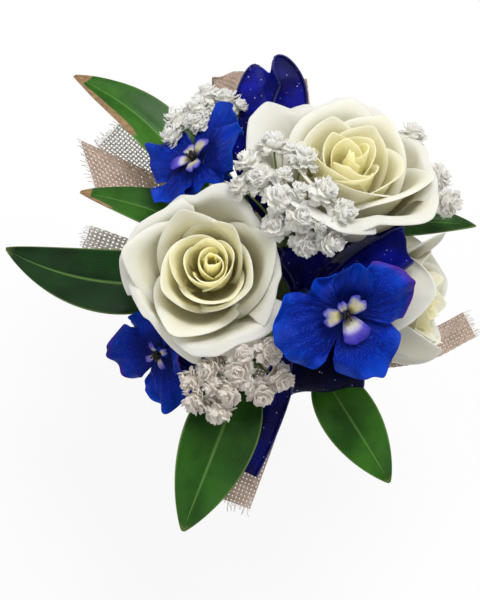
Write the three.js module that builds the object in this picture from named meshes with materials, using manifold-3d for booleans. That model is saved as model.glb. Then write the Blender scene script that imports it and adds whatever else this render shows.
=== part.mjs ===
// Wrist corsage: three open roses, three delphinium florets, baby's breath, ruscus leaves and two ribbons,
// wired and taped into one stem bundle, which a stamped clamp holds on an elastic wristband.
// Millimetres. +Z up through the flowers, +Y along the forearm, origin at the centre of the wrist opening.

import * as THREE from "three";
import { mergeVertices } from "three/addons/utils/BufferGeometryUtils.js";
import Module from "manifold-3d";

const wasm = await Module();
wasm.setup();

const clearance = 0.3; // air between neighbouring pieces

// Elastic wristband
const bandInnerRadius = 28;
const bandWidth = 18;
const bandThickness = 1.2;
const bandFlatHeight = 23; // inner face of the flat top run above the wrist centre
const bandShoulderAngle = 30; // degrees above the horizontal where the top run meets a side run
const bandPalmAngle = 30; // degrees below the horizontal where a side run meets the palm run
const seamLength = 14; // sewn overlap of the band ends
const seamGap = 0.4;

// Stamped clamp
const plateWidth = 22;
const plateThickness = 1;
const plateCorner = 2;
const slotStart = 10; // from the middle of the plate to the inner edge of a slot
const slotOpening = 6;
const slotSpare = 0.8; // room beside each band edge in a slot
const barWidth = 3;
const prongWidth = 6;
const prongThickness = 0.7;
const prongWrap = 65; // degrees each prong curls over the bundle
const prongGap = 0.4;

// Taped stem bundle and its binding wire
const bundleRadius = 6;
const bundleLength = 36;
const bundleChamfer = 1;
const wireDiameter = 0.8;
const wirePitch = 1.4;
const wireTurns = 3;
const wireStart = -9; // along the bundle

// Flowers, leaves and ribbons are placed from the middle of the stem bundle

// Roses: sizes are the radius of the open bloom, profiles are fractions of it (outwards, upwards)
const petalCount = 5;
const petalThickness = 1;
const petalHalfAngle = 47;
const petalStep = 1.25; // each petal starts outside one neighbour and ends inside the other
const petalRimRound = 0.2;
const petalProfile = [[0.22, 0], [0.52, 0.1], [0.76, 0.36], [0.87, 0.62], [0.98, 0.8], [1.08, 0.83]];
const heartTurns = 2.25; // the inner petals roll up into one spiral
const heartInner = 0.1; // radius of its first and last turn at the rim, as fractions of the bloom's radius
const heartOuter = 0.68;
const heartFoot = 0.55; // radius at the foot as a share of the radius at the rim
const heartTop = 1.18; // rim height of the first turn, and how far it falls to the last
const heartFall = 0.22;
const heartScallop = 0.05;
const hipRadius = 5;
const hipHeight = 7;
const calyxLobes = 5;
const calyxLobeLength = 11;
const calyxLobeWidth = 5;
const calyxLobeThickness = 0.8;
const flowerStemRadius = 1.5;
const roses = [
  { name: "rose_front", base: [-22.5, -0.5, 8.6], facing: [-0.12, -0.17, 0.98], spin: 60, size: 24,
    stem: [[-15, -8, 2.1], [0, -11, 0.1]] },
  { name: "rose_back", base: [16, 21, 12.1], facing: [0.2, 0.42, 0.88], spin: 20, size: 27,
    stem: [[8, 13, 4.1], [0, 12, 0.1]] },
  { name: "rose_side", base: [24, -4.5, 1.1], facing: [0.95, -0.1, 0.22], spin: 36, size: 20,
    stem: [[14, -9, 1.1], [0, -13, 0.1]] },
];

// Delphinium florets
const sepalCount = 5;
const sepalThickness = 0.9;
const sepalRuffle = 1.1;
const sepalNotch = 0.42; // depth of the gaps between the sepal tips, as a share of the length
const sepalCup = 3.5;
const sepalFlat = 0.3; // share of the length that lies flat before the sepal cups
const floretCore = 3.6;
const spurLength = 13;
const spurRadius = 1.5;
const eyeRadius = 4.6;
const eyeHeight = 5.5;
const eyeLobes = 4;
const pedicelRadius = 1.1;
const florets = [
  { name: "floret_back", eye: [-27, 33, 23.6], facing: [-0.55, 0.38, 0.74], spin: 0, sepal: 20,
    stem: [[-13, 24, 9.1], [0, 16, 0.1]] },
  { name: "floret_front", eye: [17, -17.5, 29.1], facing: [0.1, -0.5, 0.84], spin: 22, sepal: 21,
    stem: [[11, -13, 13.1], [3, -12, 5.1], [0, -12, 0.1]] },
  { name: "floret_left", eye: [-38, -23, 7.1], facing: [-0.5, -0.55, 0.67], spin: 40, sepal: 17,
    stem: [[-18, -15, 2.1], [0, -16, -0.9]] },
];

// Baby's breath: the main stem, the point where it branches and the blossoms (x, y, z)
const sprayStemRadius = 0.7;
const sprayTwigRadius = 0.55;
const blossomRadius = 4.8;
const blossomFlatness = 0.8;
const sprays = [
  { name: "spray_left", foot: [0, 15, 0.1], fork: [-19, 36, 10.1], blossoms: [
    [-33, 49, 18.1], [-27, 51.5, 19.1], [-24, 57, 18.1], [-34, 44.5, 17.1], [-25.5, 46.5, 20.1],
    [-18, 55, 19.1]] },
  { name: "spray_centre", foot: [-1, 8, 0.1], fork: [-2, 10, 25.1], blossoms: [
    [-4, 32, 38.1], [4.7, 25.7, 41.1], [-11.3, 26.8, 36.1], [-7.5, 20.2, 39.1], [-2.5, 13.9, 41.1],
    [3.3, 8.3, 41.1], [10, 14.6, 44.1], [15.6, 9.5, 41.1], [12.2, 2.6, 36.1], [-3.3, 8, 35.1],
    [4.9, 3, 34.1], [-12.8, 19.8, 34.1]] },
  { name: "spray_front", foot: [0, -15, 0.1], fork: [-10, -26, 9.1], blossoms: [
    [-5.6, -26.8, 20.1], [-14, -31.8, 19.1], [-22.4, -31.2, 17.1], [-27.6, -33.5, 13.1], [-26.6, -39.1, 12.1],
    [-20, -42, 12.1], [-7.7, -37.2, 14.1], [-2.3, -33.1, 15.1], [-17, -37.4, 16.1]] },
  { name: "spray_right", foot: [0, 15, 0.1], fork: [34, 30, 4.1], blossoms: [
    [40, 45, 15.1], [47.5, 32, 13.1], [50, 23, 15.1]] },
];

// Ruscus leaves on wired stalks: hinge point at the bundle, base of the blade and the way it points
const backLeftLeafLength = 59.4;
const leftLeafLength = 46.7;
const farLeftLeafLength = 62.9;
const frontLeafLength = 51;
const frontRightLeafLength = 40.4;
const rightLeafLength = 40.6;
const leafThickness = 0.8;
const stalkRadius = 0.9;
const stalkFootSide = bundleRadius + 0.5; // a stalk starts just off the tape, beside the bundle or at its end
const stalkFootEnd = bundleLength / 2 + 1.3;
const leaves = [
  { name: "leaf_back_left", hinge: [-stalkFootSide, 14, 0.1], base: [-26, 31, 0.1],
    toward: [-0.715, 0.698, 0.025], length: backLeftLeafLength, width: 20, arch: 3, fold: 0.25, roll: 22 },
  { name: "leaf_left", hinge: [-stalkFootSide, 10, 0.1], base: [-21, 15.5, 3.1],
    toward: [-0.943, 0.332, 0], length: leftLeafLength, width: 16, arch: 3, fold: 0.2, roll: 22 },
  { name: "leaf_far_left", hinge: [-stalkFootSide, 6, -0.9], base: [-27, 4, -1.4],
    toward: [-0.985, 0.167, -0.04], length: farLeftLeafLength, width: 21, arch: 4, fold: 0.15, roll: -8 },
  { name: "leaf_front", hinge: [-3, -stalkFootEnd, 0.1], base: [-13, -29, 1.1],
    toward: [-0.363, -0.922, -0.137], length: frontLeafLength, width: 23, arch: 4, fold: 0.2, roll: -6 },
  { name: "leaf_front_right", hinge: [3.5, -stalkFootEnd, 0.1], base: [11, -27, -1.4],
    toward: [0.532, -0.817, -0.223], length: frontRightLeafLength, width: 18, arch: 3, fold: 0.15, roll: 8 },
  { name: "leaf_right", hinge: [stalkFootSide, 14, 0.1], base: [21, 20.5, 0.1],
    toward: [0.998, 0.025, -0.049], length: rightLeafLength, width: 12, arch: 3, fold: 0.3, roll: -10 },
];

// Ribbons: points along the middle line and the direction across, at the start and at the end
const meshThickness = 0.7;
const meshWidth = 16;
const organzaThickness = 0.7;
const organzaWidth = 13;
const gatheredWidth = 5; // where a ribbon is pinched into the bundle or the knot
const gatherLength = 0.3; // share of the length over which it opens out
const ribbonFold = 0.9; // height of the lengthwise folds
const knotRadius = 5;
const knotCentre = [6, -8, 11.6];
const meshTails = [
  { name: "mesh_tail_left", width: meshWidth,
    points: [[-5, 13, -2.9], [-30, 25.5, -3.9], [-66, 43.5, -5.4]],
    across: [[0.3, 1, 0], [0.3, 1, 0.2]] },
  { name: "mesh_tail_back_left", width: 19,
    points: [[-3, 17, -4.9], [-28, 36, -9.9], [-56, 58, -9.4]],
    across: [[0.6, 0.8, 0], [0.4, 1, 0]] },
  { name: "mesh_tail_far_left", width: 8,
    points: [[-5, 7, -4.6], [-22, 10, -5.6], [-38, 12.5, -10.9], [-64, 22, -12.9]],
    across: [[0.1, 1, 0], [0.1, 1, 0]] },
  { name: "mesh_tail_front", width: 13,
    points: [[-1, -16, -4.4], [-7, -38, -8.9], [-17, -65.5, -12.9]],
    across: [[1, 0, 0], [1, 0.2, 0]] },
  { name: "mesh_tail_right", width: 10,
    points: [[4, -15, -3.9], [18, -16, -11.9], [33, -14.5, -22.9], [47, -12, -22.9], [60.5, -6, -19.4]],
    across: [[0.1, 1, 0], [0.4, 1, 0]] },
];
const meshLoops = [
  { name: "mesh_loop_left", width: 14,
    points: [[-2, 16, -1.9], [-10, 44, -1.9], [-16, 67, 4.1], [-16, 70, 9.1],
    [-11, 46, 7.1], [-2, 16, 2.1]], across: [[1, 0.25, 0], [1, 0.25, 0]] },
  { name: "mesh_loop_right", width: 10,
    points: [[2, 16, -1.9], [4, 44, -1.9], [2.5, 66, 4.1], [2.5, 68, 9.1],
    [4, 46, 7.1], [2, 16, 2.1]], across: [[1, 0, 0], [1, 0, 0]] },
];
const organzaRuns = [
  { name: "organza_loop_back", width: organzaWidth,
    points: [[-3, 14, 6.1], [-12, 40, 15.1], [-9, 57, 21.1], [-4.5, 64, 23.1],
    [0, 60, 20.1], [1, 42, 13.1], [2, 14, 3.1]], across: [[0.9, 0.25, 0.35], [0.9, 0.25, 0.35]] },
  { name: "organza_loop_right", width: 12,
    points: [[9, -7, 13.6], [21, -2, 22.1], [31, 1.5, 27.1], [35.5, 5, 27.6],
    [30, 7, 19.1], [18, 3, 13.6], [9, -5, 10.6]], across: [[0, 0.9, 0.4], [0, 0.9, 0.4]] },
  { name: "organza_loop_left", width: 12,
    points: [[5, -5, 15.6], [6, 0, 22.1], [6.5, 4, 26.6], [5, 5, 24.1],
    [4, 1, 18.1], [4, -6, 13.1]], across: [[0.95, 0.2, -0.2], [0.95, 0.2, -0.2]] },
  { name: "organza_loop_front", width: 22,
    points: [[8, -10, 13.1], [12, -24, 13.6], [12.5, -34, 12.1], [12.5, -35.5, 8.1],
    [12, -26, 5.6], [7, -10, 9.1]], across: [[1, 0.1, 0], [1, 0.1, 0]] },
  { name: "organza_tail", width: 9,
    points: [[1, -16, -0.9], [-3, -34, -1.9], [-8, -47, -3.9], [-13, -57, -6.9]],
    across: [[1, 0, 0], [1, 0.3, 0.2]] },
];

const paint = (color, roughness, metalness = 0) =>
  new THREE.MeshStandardMaterial({ color, roughness, metalness });
const satin = paint("#f1ece4", 0.6);
const steel = paint("#b9bcc0", 0.35, 1);
const tape = paint("#6f8a4e", 0.75);
const wire = paint("#5f6f45", 0.45, 0.6);
const cream = paint("#f3ead0", 0.55);
const creamDeep = paint("#e9d9a6", 0.55);
const calyxGreen = paint("#6d8a45", 0.6);
const royalBlue = paint("#2b35b4", 0.55);
const eyeWhite = paint("#e9e3ea", 0.6);
const blossomWhite = paint("#f2efe6", 0.7);
const leafGreen = paint("#3f6b3a", 0.4);
const meshBlush = paint("#c9a78c", 0.45);
const organzaBlue = paint("#1f2a86", 0.4);

const bandRadius = bandInnerRadius + bandThickness / 2;
const plateBottom = bandFlatHeight + bandThickness + clearance;
const plateTop = plateBottom + plateThickness;
const slotEnd = slotStart + slotOpening;
const plateHalf = slotEnd + barWidth;
const bundleHeight = plateTop + wireDiameter + 2 * clearance + bundleRadius; // it rests on the binding wire
const vector = (point) => new THREE.Vector3(...point);
const radians = THREE.MathUtils.degToRad;

function toSolid(geometry) {
  const bare = new THREE.BufferGeometry();
  bare.setAttribute("position", geometry.getAttribute("position"));
  bare.setIndex(geometry.getIndex());
  const merged = mergeVertices(bare, 1e-4);
  return new wasm.Manifold(new wasm.Mesh({
    numProp: 3,
    vertProperties: new Float32Array(merged.getAttribute("position").array),
    triVerts: new Uint32Array(merged.getIndex().array),
  }));
}

function toGeometry(solid) {
  const mesh = solid.getMesh();
  const geometry = new THREE.BufferGeometry();
  geometry.setAttribute("position", new THREE.BufferAttribute(new Float32Array(mesh.vertProperties), 3));
  geometry.setIndex(new THREE.BufferAttribute(new Uint32Array(mesh.triVerts), 1));
  geometry.computeVertexNormals();
  return geometry;
}

function joined(geometries) {
  return toGeometry(geometries.map(toSolid).reduce((whole, next) => whole.add(next)));
}

// Closed sheet: the middle surface at (across -1..1, along 0..1) thickened to both sides along its normal.
// Growing it pushes both skins and all four edges outwards.
function sheet(middle, thickness, grow, acrossSteps, alongSteps) {
  const nudge = 1e-3;
  const half = thickness / 2 + grow;
  const columns = acrossSteps + 1;
  const rows = alongSteps + 1;
  const positions = [];
  for (const side of [half, -half]) {
    for (let j = 0; j < rows; j++) {
      for (let i = 0; i < columns; i++) {
        const across = (2 * i) / acrossSteps - 1;
        const along = j / alongSteps;
        const before = Math.max(along - nudge, 0);
        const after = Math.min(along + nudge, 1);
        const sideways = middle(across + nudge, along).sub(middle(across - nudge, along));
        const forwards = middle(across, after).sub(middle(across, before));
        const normal = sideways.clone().cross(forwards).normalize();
        const point = middle(across, along).addScaledVector(normal, side);
        if (Math.abs(across) === 1) point.addScaledVector(sideways.normalize(), across * grow);
        if (along === 0 || along === 1) point.addScaledVector(forwards.normalize(), (2 * along - 1) * grow);
        positions.push(...point);
      }
    }
  }
  const under = columns * rows;
  const index = [];
  const quad = (a, b, c, d) => index.push(a, b, c, a, c, d);
  for (let j = 0; j < alongSteps; j++) {
    for (let i = 0; i < acrossSteps; i++) {
      const a = j * columns + i;
      const d = a + columns;
      quad(a, a + 1, d + 1, d);
      quad(under + a, under + d, under + d + 1, under + a + 1);
    }
  }
  const edge = [];
  for (let i = 0; i < acrossSteps; i++) edge.push(i);
  for (let j = 0; j < alongSteps; j++) edge.push(j * columns + acrossSteps);
  for (let i = acrossSteps; i > 0; i--) edge.push(alongSteps * columns + i);
  for (let j = alongSteps; j > 0; j--) edge.push(j * columns);
  edge.forEach((a, k) => {
    const b = edge[(k + 1) % edge.length];
    quad(a, under + a, under + b, b);
  });
  const geometry = new THREE.BufferGeometry();
  geometry.setAttribute("position", new THREE.Float32BufferAttribute(positions, 3));
  geometry.setIndex(index);
  return geometry;
}

function tube(curve, radius, sides, steps) {
  const section = new THREE.Shape().absarc(0, 0, radius, 0, 2 * Math.PI);
  return new THREE.ExtrudeGeometry(section, {
    extrudePath: curve, steps, curveSegments: sides / 2, bevelEnabled: false });
}

const through = (points) => new THREE.CatmullRomCurve3(points, false, "centripetal");

function turned(profile, scale, segments) {
  const points = profile.map(([out, up]) => new THREE.Vector2(out * scale, up * scale));
  return new THREE.LatheGeometry(points, segments).rotateX(Math.PI / 2);
}

// Lobes round a turned body: the radius swells and shrinks, and the lobes wind up the height.
function lobed(geometry, lobes, depth, turnPerMillimetre) {
  const spot = geometry.getAttribute("position");
  for (let k = 0; k < spot.count; k++) {
    const angle = Math.atan2(spot.getY(k), spot.getX(k));
    const swell = 1 + depth * Math.cos(lobes * angle + turnPerMillimetre * spot.getZ(k));
    spot.setXY(k, spot.getX(k) * swell, spot.getY(k) * swell);
  }
  return geometry;
}

// Flat strip standing on edge along Y: its middle line in (x, z), its thickness to both sides.
function strip(line, thickness, width) {
  const offset = (side) => line.map((point, k) => {
    const from = line[Math.max(k - 1, 0)];
    const to = line[Math.min(k + 1, line.length - 1)];
    const run = to.clone().sub(from).normalize();
    return new THREE.Vector2(point.x - run.y * side, point.y + run.x * side);
  });
  const outline = new THREE.Shape([...offset(-thickness / 2), ...offset(thickness / 2).reverse()]);
  const geometry = new THREE.ExtrudeGeometry(outline, { depth: width, bevelEnabled: false });
  return geometry.rotateX(Math.PI / 2).translate(0, width / 2, 0);
}

function arcLine(radius, fromDegrees, toDegrees, steps, lift = 0) {
  return Array.from({ length: steps + 1 }, (_, k) => {
    const angle = radians(fromDegrees + ((toDegrees - fromDegrees) * k) / steps);
    return new THREE.Vector2(radius * Math.cos(angle), lift + radius * Math.sin(angle));
  });
}

// The top run lies under the plate in the middle, rises through each slot and passes over the end bar.
function bandTopLine() {
  const low = bandFlatHeight + bandThickness / 2;
  const high = plateTop + clearance + bandThickness / 2;
  const shoulder = arcLine(bandRadius, bandShoulderAngle, bandShoulderAngle, 1)[0];
  const bend = new THREE.QuadraticBezierCurve(
    new THREE.Vector2(plateHalf + bandThickness, high), new THREE.Vector2(shoulder.x, high), shoulder);
  const half = [
    new THREE.Vector2(slotStart + 0.8, low), new THREE.Vector2(slotEnd - 0.5, high), ...bend.getPoints(5)];
  const mirrored = half.map((point) => new THREE.Vector2(-point.x, point.y)).reverse();
  return [...mirrored, ...half];
}

function plate(grow) {
  const halfX = plateHalf + grow - plateCorner;
  const halfY = plateWidth / 2 + grow - plateCorner;
  const outline = new THREE.Shape();
  outline.absarc(halfX, halfY, plateCorner, 0, Math.PI / 2);
  outline.absarc(-halfX, halfY, plateCorner, Math.PI / 2, Math.PI);
  outline.absarc(-halfX, -halfY, plateCorner, Math.PI, 1.5 * Math.PI);
  outline.absarc(halfX, -halfY, plateCorner, 1.5 * Math.PI, 2 * Math.PI);
  const depth = plateThickness + 2 * grow;
  const slab = new THREE.ExtrudeGeometry(outline, { depth, bevelEnabled: false, curveSegments: 4 });
  const slot = (side) => toSolid(new THREE.BoxGeometry(
    slotOpening - 2 * grow, bandWidth + 2 * slotSpare - 2 * grow, 3 * depth)
    .translate(side * (slotStart + slotOpening / 2), 0, depth / 2));
  const body = toSolid(slab).subtract(slot(-1)).subtract(slot(1));
  return toGeometry(body).translate(0, 0, plateBottom - grow);
}

function prongLine() {
  const wrap = bundleRadius + prongGap + prongThickness / 2;
  return [new THREE.Vector2(wrap, plateTop + clearance), ...arcLine(wrap, 0, prongWrap, 5, bundleHeight)];
}

class Helix extends THREE.Curve {
  constructor(radius, pitch, turns) {
    super();
    Object.assign(this, { radius, pitch, turns });
  }
  getPoint(share) {
    const angle = 2 * Math.PI * this.turns * share;
    return new THREE.Vector3(
      this.radius * Math.cos(angle), this.pitch * this.turns * share, this.radius * Math.sin(angle));
  }
}

// Least air between the loops of a winding, measured on points more than half a turn apart.
function windingGap(curve, diameter) {
  const perTurn = 24;
  const points = curve.getPoints(perTurn * curve.turns);
  let least = Infinity;
  points.forEach((point, k) => {
    for (let m = k + perTurn / 2; m < points.length; m++) {
      least = Math.min(least, point.distanceTo(points[m]));
    }
  });
  return least - diameter;
}

function petal(size, grow) {
  const profile = through(petalProfile.map(([out, up]) => new THREE.Vector3(out * size, 0, up * size)));
  const middle = (spread, along) => {
    const reach = along * (1 - petalRimRound * spread * spread);
    const run = profile.getTangent(reach);
    const outwards = new THREE.Vector3(run.z, 0, -run.x);
    const spot = profile.getPoint(reach).addScaledVector(outwards, petalStep * spread);
    const angle = spread * radians(petalHalfAngle);
    return new THREE.Vector3(spot.x * Math.cos(angle), spot.x * Math.sin(angle), spot.z);
  };
  return sheet(middle, petalThickness, grow, 6, 5);
}

function heart(size, grow) {
  const middle = (across, along) => {
    const up = (across + 1) / 2;
    const angle = 2 * Math.PI * heartTurns * along;
    const rim = THREE.MathUtils.lerp(heartInner, heartOuter, along);
    const top = heartTop - heartFall * along - heartScallop * Math.cos(2.5 * angle);
    const out = size * rim * THREE.MathUtils.lerp(heartFoot, 1, up);
    return new THREE.Vector3(out * Math.cos(angle), out * Math.sin(angle),
      size * THREE.MathUtils.lerp(0.25 - 0.13 * along, top, up));
  };
  return sheet(middle, petalThickness, grow, 2, 30);
}

function calyx(stemPoints, grow) {
  const top = -1.4 + grow;
  const hip = turned([
    [0, 0.5], [2 + grow, 0.5], [2 + grow, top], [hipRadius - 0.6 + grow, top], [hipRadius + grow, top - 2.5],
    [hipRadius * 0.7 + grow, -hipHeight], [0, -hipHeight - 1 - grow]].reverse(), 1, 10);
  const reach = hipRadius - 1.5;
  const lobe = (across, along) => new THREE.Vector3(
    reach + calyxLobeLength * along,
    across * (calyxLobeWidth / 2) * (1 - 0.8 * along),
    top - 1.6 + 1.4 * along);
  const lobes = Array.from({ length: calyxLobes }, (_, k) =>
    sheet(lobe, calyxLobeThickness, grow, 1, 1).rotateZ((2 * Math.PI * k) / calyxLobes));
  const stem = tube(through(stemPoints), flowerStemRadius + grow, 6, 7);
  return joined([hip, ...lobes, stem]);
}

// Five sepals that overlap into one cupped, ruffled ring, with the spur behind and the stalk to the bundle.
function sepals(length, stemPoints, grow) {
  const half = sepalThickness / 2 + grow;
  const rise = (out) => sepalCup * Math.pow(Math.max(out - sepalFlat, 0) / (1 - sepalFlat), 2);
  const skin = (side) => [sepalFlat, (1 + sepalFlat) / 2, 1].map((out) =>
    [out * length + (out === 1 ? grow : 0), side]);
  const section = [
    [0, -floretCore], [floretCore + grow, -1], ...skin(-half), ...skin(half).reverse(), [0, 1]];
  const ring = turned(section, 1, 4 * sepalCount);
  const spot = ring.getAttribute("position");
  for (let k = 0; k < spot.count; k++) {
    const angle = Math.atan2(spot.getY(k), spot.getX(k));
    const share = Math.min(Math.hypot(spot.getX(k), spot.getY(k)) / length, 1);
    const notch = 1 - sepalNotch * share * share * Math.pow(Math.sin((sepalCount / 2) * angle), 4);
    const ruffle = sepalRuffle * share * share * Math.sin(2 * sepalCount * angle + 1);
    const height = spot.getZ(k) + rise(share * notch) + ruffle;
    spot.setXYZ(k, spot.getX(k) * notch, spot.getY(k) * notch, height);
  }
  const spurLine = through([
    new THREE.Vector3(1, 0, -1),
    new THREE.Vector3(2.5, 0, -spurLength / 2),
    new THREE.Vector3(6, 0, -spurLength)]);
  const spur = tube(spurLine, spurRadius + grow, 6, 3);
  return joined([ring, spur, tube(through(stemPoints), pedicelRadius + grow, 6, 5)]);
}

function eye(grow) {
  const foot = 1 + sepalThickness / 2 + clearance;
  const profile = [
    [0, foot - grow], [eyeRadius * 0.5 + grow, foot - grow], [eyeRadius + grow, foot + eyeHeight * 0.6],
    [eyeRadius * 0.9 + grow, foot + eyeHeight + grow], [eyeRadius * 0.4, foot + eyeHeight * 0.55 + grow],
    [0, foot + eyeHeight * 0.4 + grow]];
  return lobed(turned(profile, 1, 16), eyeLobes, 0.16, 0);
}

function spray({ foot, fork, blossoms }, grow) {
  const root = vector(foot);
  const split = vector(fork);
  const parts = [tube(through([root, root.clone().lerp(split, 0.5), split]), sprayStemRadius + grow, 4, 4)];
  for (const blossom of blossoms.map(vector)) {
    const twig = new THREE.LineCurve3(split.clone().lerp(root, 0.05), blossom);
    parts.push(tube(twig, sprayTwigRadius + grow, 4, 1));
    const head = new THREE.IcosahedronGeometry(blossomRadius + grow, 0);
    const up = blossom.clone().sub(split).normalize();
    const tilt = new THREE.Quaternion().setFromUnitVectors(new THREE.Vector3(0, 0, 1), up);
    parts.push(head.scale(1, 1, blossomFlatness).applyQuaternion(tilt).translate(...blossom));
  }
  return joined(parts);
}

const leafOutline = (along) => 2.55 * Math.pow(along, 0.55) * Math.pow(1 - along, 0.85);

function leaf({ hinge, base, toward, length, width, arch, fold, roll }, grow) {
  const foot = vector(base);
  const run = vector(toward).normalize();
  const level = new THREE.Vector3(0, 0, 1).cross(run).normalize();
  const side = level.clone().applyAxisAngle(run, radians(roll));
  const face = run.clone().cross(side);
  const blade = (across, along) => {
    const half = Math.max((width / 2) * leafOutline(0.02 + 0.965 * along), 0.5);
    const rise = arch * 4 * along * (1 - along) + fold * half * across * across;
    return foot.clone().addScaledVector(run, length * along).addScaledVector(side, across * half)
      .addScaledVector(face, rise);
  };
  const stalk = through([vector(hinge), vector(hinge).lerp(foot, 0.6), foot.clone().addScaledVector(run, 3)
    .addScaledVector(face, arch * 0.1)]);
  return joined([sheet(blade, leafThickness, grow, 4, 8), tube(stalk, stalkRadius + grow, 6, 3)]);
}

// Ribbon: opens out from its gathered end, or from both ends when it is a loop.
function ribbon({ width, points, across }, thickness, isLoop, grow) {
  const line = through(points.map(vector));
  const [from, to] = across.map(vector);
  const frame = (along) => {
    const tangent = line.getTangent(THREE.MathUtils.clamp(along, 0, 1));
    const side = from.clone().lerp(to, along);
    side.addScaledVector(tangent, -side.dot(tangent)).normalize();
    return { side, face: tangent.clone().cross(side) };
  };
  const middle = (spread, along) => {
    const fromEnd = isLoop ? Math.min(along, 1 - along) : along;
    const open = THREE.MathUtils.smoothstep(fromEnd, 0, gatherLength);
    const half = THREE.MathUtils.lerp(gatheredWidth, width, open) / 2;
    const { side, face } = frame(along);
    const fold = ribbonFold * Math.cos(1.5 * Math.PI * spread) * (1 - 0.5 * open);
    return line.getPoint(along).addScaledVector(side, spread * half).addScaledVector(face, fold);
  };
  return sheet(middle, thickness, grow, 4, isLoop ? 12 : 8);
}

const corsage = new THREE.Group();
corsage.name = "wrist_corsage";
const pieces = [];

// shape(grow) gives the piece, or the room it needs when grow is the clearance.
function addPiece(parent, name, material, shape) {
  const mesh = new THREE.Mesh(shape(0), material);
  mesh.name = name;
  parent.add(mesh);
  pieces.push({ mesh, room: shape(clearance) });
  return mesh;
}

function addGroup(parent, name, place, facing, spin) {
  const group = new THREE.Group();
  group.name = name;
  group.position.set(...place);
  group.quaternion.setFromUnitVectors(new THREE.Vector3(0, 0, 1), vector(facing).normalize());
  group.rotateZ(radians(spin));
  parent.add(group);
  group.updateMatrixWorld(true);
  return group;
}

const wristlet = addGroup(corsage, "wristlet", [0, 0, 0], [0, 0, 1], 0);
const gapAngle = THREE.MathUtils.radToDeg(clearance / 2 / bandRadius);
const grownBand = (line) => (grow) => strip(line, bandThickness + 2 * grow, bandWidth + 2 * grow);
addPiece(wristlet, "band_top", satin, grownBand(bandTopLine()));
const sideLine = arcLine(bandRadius, -bandPalmAngle + gapAngle, bandShoulderAngle - 2 * gapAngle, 8);
addPiece(wristlet, "band_side_right", satin, grownBand(sideLine));
addPiece(wristlet, "band_side_left", satin, grownBand(sideLine)).rotation.z = Math.PI;
const palmLine = arcLine(bandRadius, bandPalmAngle - 180 + gapAngle, -bandPalmAngle - gapAngle, 16);
addPiece(wristlet, "band_palm", satin, grownBand(palmLine));
const lapRadius = bandRadius + bandThickness + seamGap;
const lapAngle = THREE.MathUtils.radToDeg(seamLength / 2 / lapRadius);
addPiece(wristlet, "band_seam_lap", satin, grownBand(arcLine(lapRadius, -90 - lapAngle, -90 + lapAngle, 4)));
addPiece(wristlet, "clamp_plate", steel, plate);
const prong = (grow) => strip(prongLine(), prongThickness + 2 * grow, prongWidth + 2 * grow);
addPiece(wristlet, "clamp_prong_right", steel, prong);
addPiece(wristlet, "clamp_prong_left", steel, prong).rotation.z = Math.PI;

// The bunch is laid out from the middle of the stem bundle, so it rides at whatever height the bundle has.
const bunch = addGroup(corsage, "bunch", [0, 0, bundleHeight], [0, 0, 1], 0);
addPiece(bunch, "stem_bundle", tape, (grow) => {
  const half = bundleLength / 2 + grow;
  const radius = bundleRadius + grow;
  return new THREE.LatheGeometry([[0, -half], [radius - bundleChamfer, -half], [radius, bundleChamfer - half],
    [radius, half - bundleChamfer], [radius - bundleChamfer, half], [0, half]]
    .map((point) => new THREE.Vector2(...point)), 20);
});
const winding = new Helix(bundleRadius + clearance + wireDiameter / 2, wirePitch, wireTurns);
console.log("binding wire, least gap to itself in mm:", windingGap(winding, wireDiameter).toFixed(2));
addPiece(bunch, "binding_wire", wire, (grow) => tube(winding, wireDiameter / 2 + grow, 6, 16 * wireTurns))
  .position.y = wireStart;

const knot = addGroup(bunch, "organza_bow", knotCentre, [0.3, -0.4, 0.85], 0);
addPiece(knot, "organza_knot", organzaBlue, (grow) => lobed(
  new THREE.SphereGeometry(knotRadius + grow, 10, 7).rotateX(Math.PI / 2), 3, 0.12, 0.3));

const localStem = (group, start, points) =>
  [...start.map(vector), ...points.map((point) => group.worldToLocal(bunch.localToWorld(vector(point))))];
const roseGroups = roses.map(({ name, base, facing, spin }) => addGroup(bunch, name, base, facing, spin));
roses.forEach(({ name, size }, k) => {
  addPiece(roseGroups[k], name + "_heart", creamDeep, (grow) => heart(size, grow));
});
roses.forEach(({ name, size }, k) => {
  for (let m = 0; m < petalCount; m++) {
    addPiece(roseGroups[k], name + "_petal_" + (m + 1), cream, (grow) => petal(size, grow))
      .rotation.z = (2 * Math.PI * m) / petalCount;
  }
});
roses.forEach(({ name, stem }, k) => {
  const points = localStem(roseGroups[k], [[0, 0, 1 - hipHeight], [0, 0, -2 - hipHeight]], stem);
  addPiece(roseGroups[k], name + "_calyx_stem", calyxGreen, (grow) => calyx(points, grow));
});

for (const { name, eye: place, facing, spin, sepal, stem } of florets) {
  const group = addGroup(bunch, name, place, facing, spin);
  const points = localStem(group, [[0, 0, -1], [0, 0, -floretCore - 3]], stem);
  addPiece(group, name + "_sepals", royalBlue, (grow) => sepals(sepal, points, grow));
  addPiece(group, name + "_eye", eyeWhite, eye);
}

for (const item of leaves) addPiece(bunch, item.name, leafGreen, (grow) => leaf(item, grow));
for (const item of sprays) addPiece(bunch, item.name, blossomWhite, (grow) => spray(item, grow));

for (const item of organzaRuns) {
  const isLoop = item.name.includes("loop");
  addPiece(bunch, item.name, organzaBlue, (grow) => ribbon(item, organzaThickness, isLoop, grow));
}
for (const item of meshLoops) {
  addPiece(bunch, item.name, meshBlush, (grow) => ribbon(item, meshThickness, true, grow));
}
for (const item of meshTails) {
  addPiece(bunch, item.name, meshBlush, (grow) => ribbon(item, meshThickness, false, grow));
}

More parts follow.
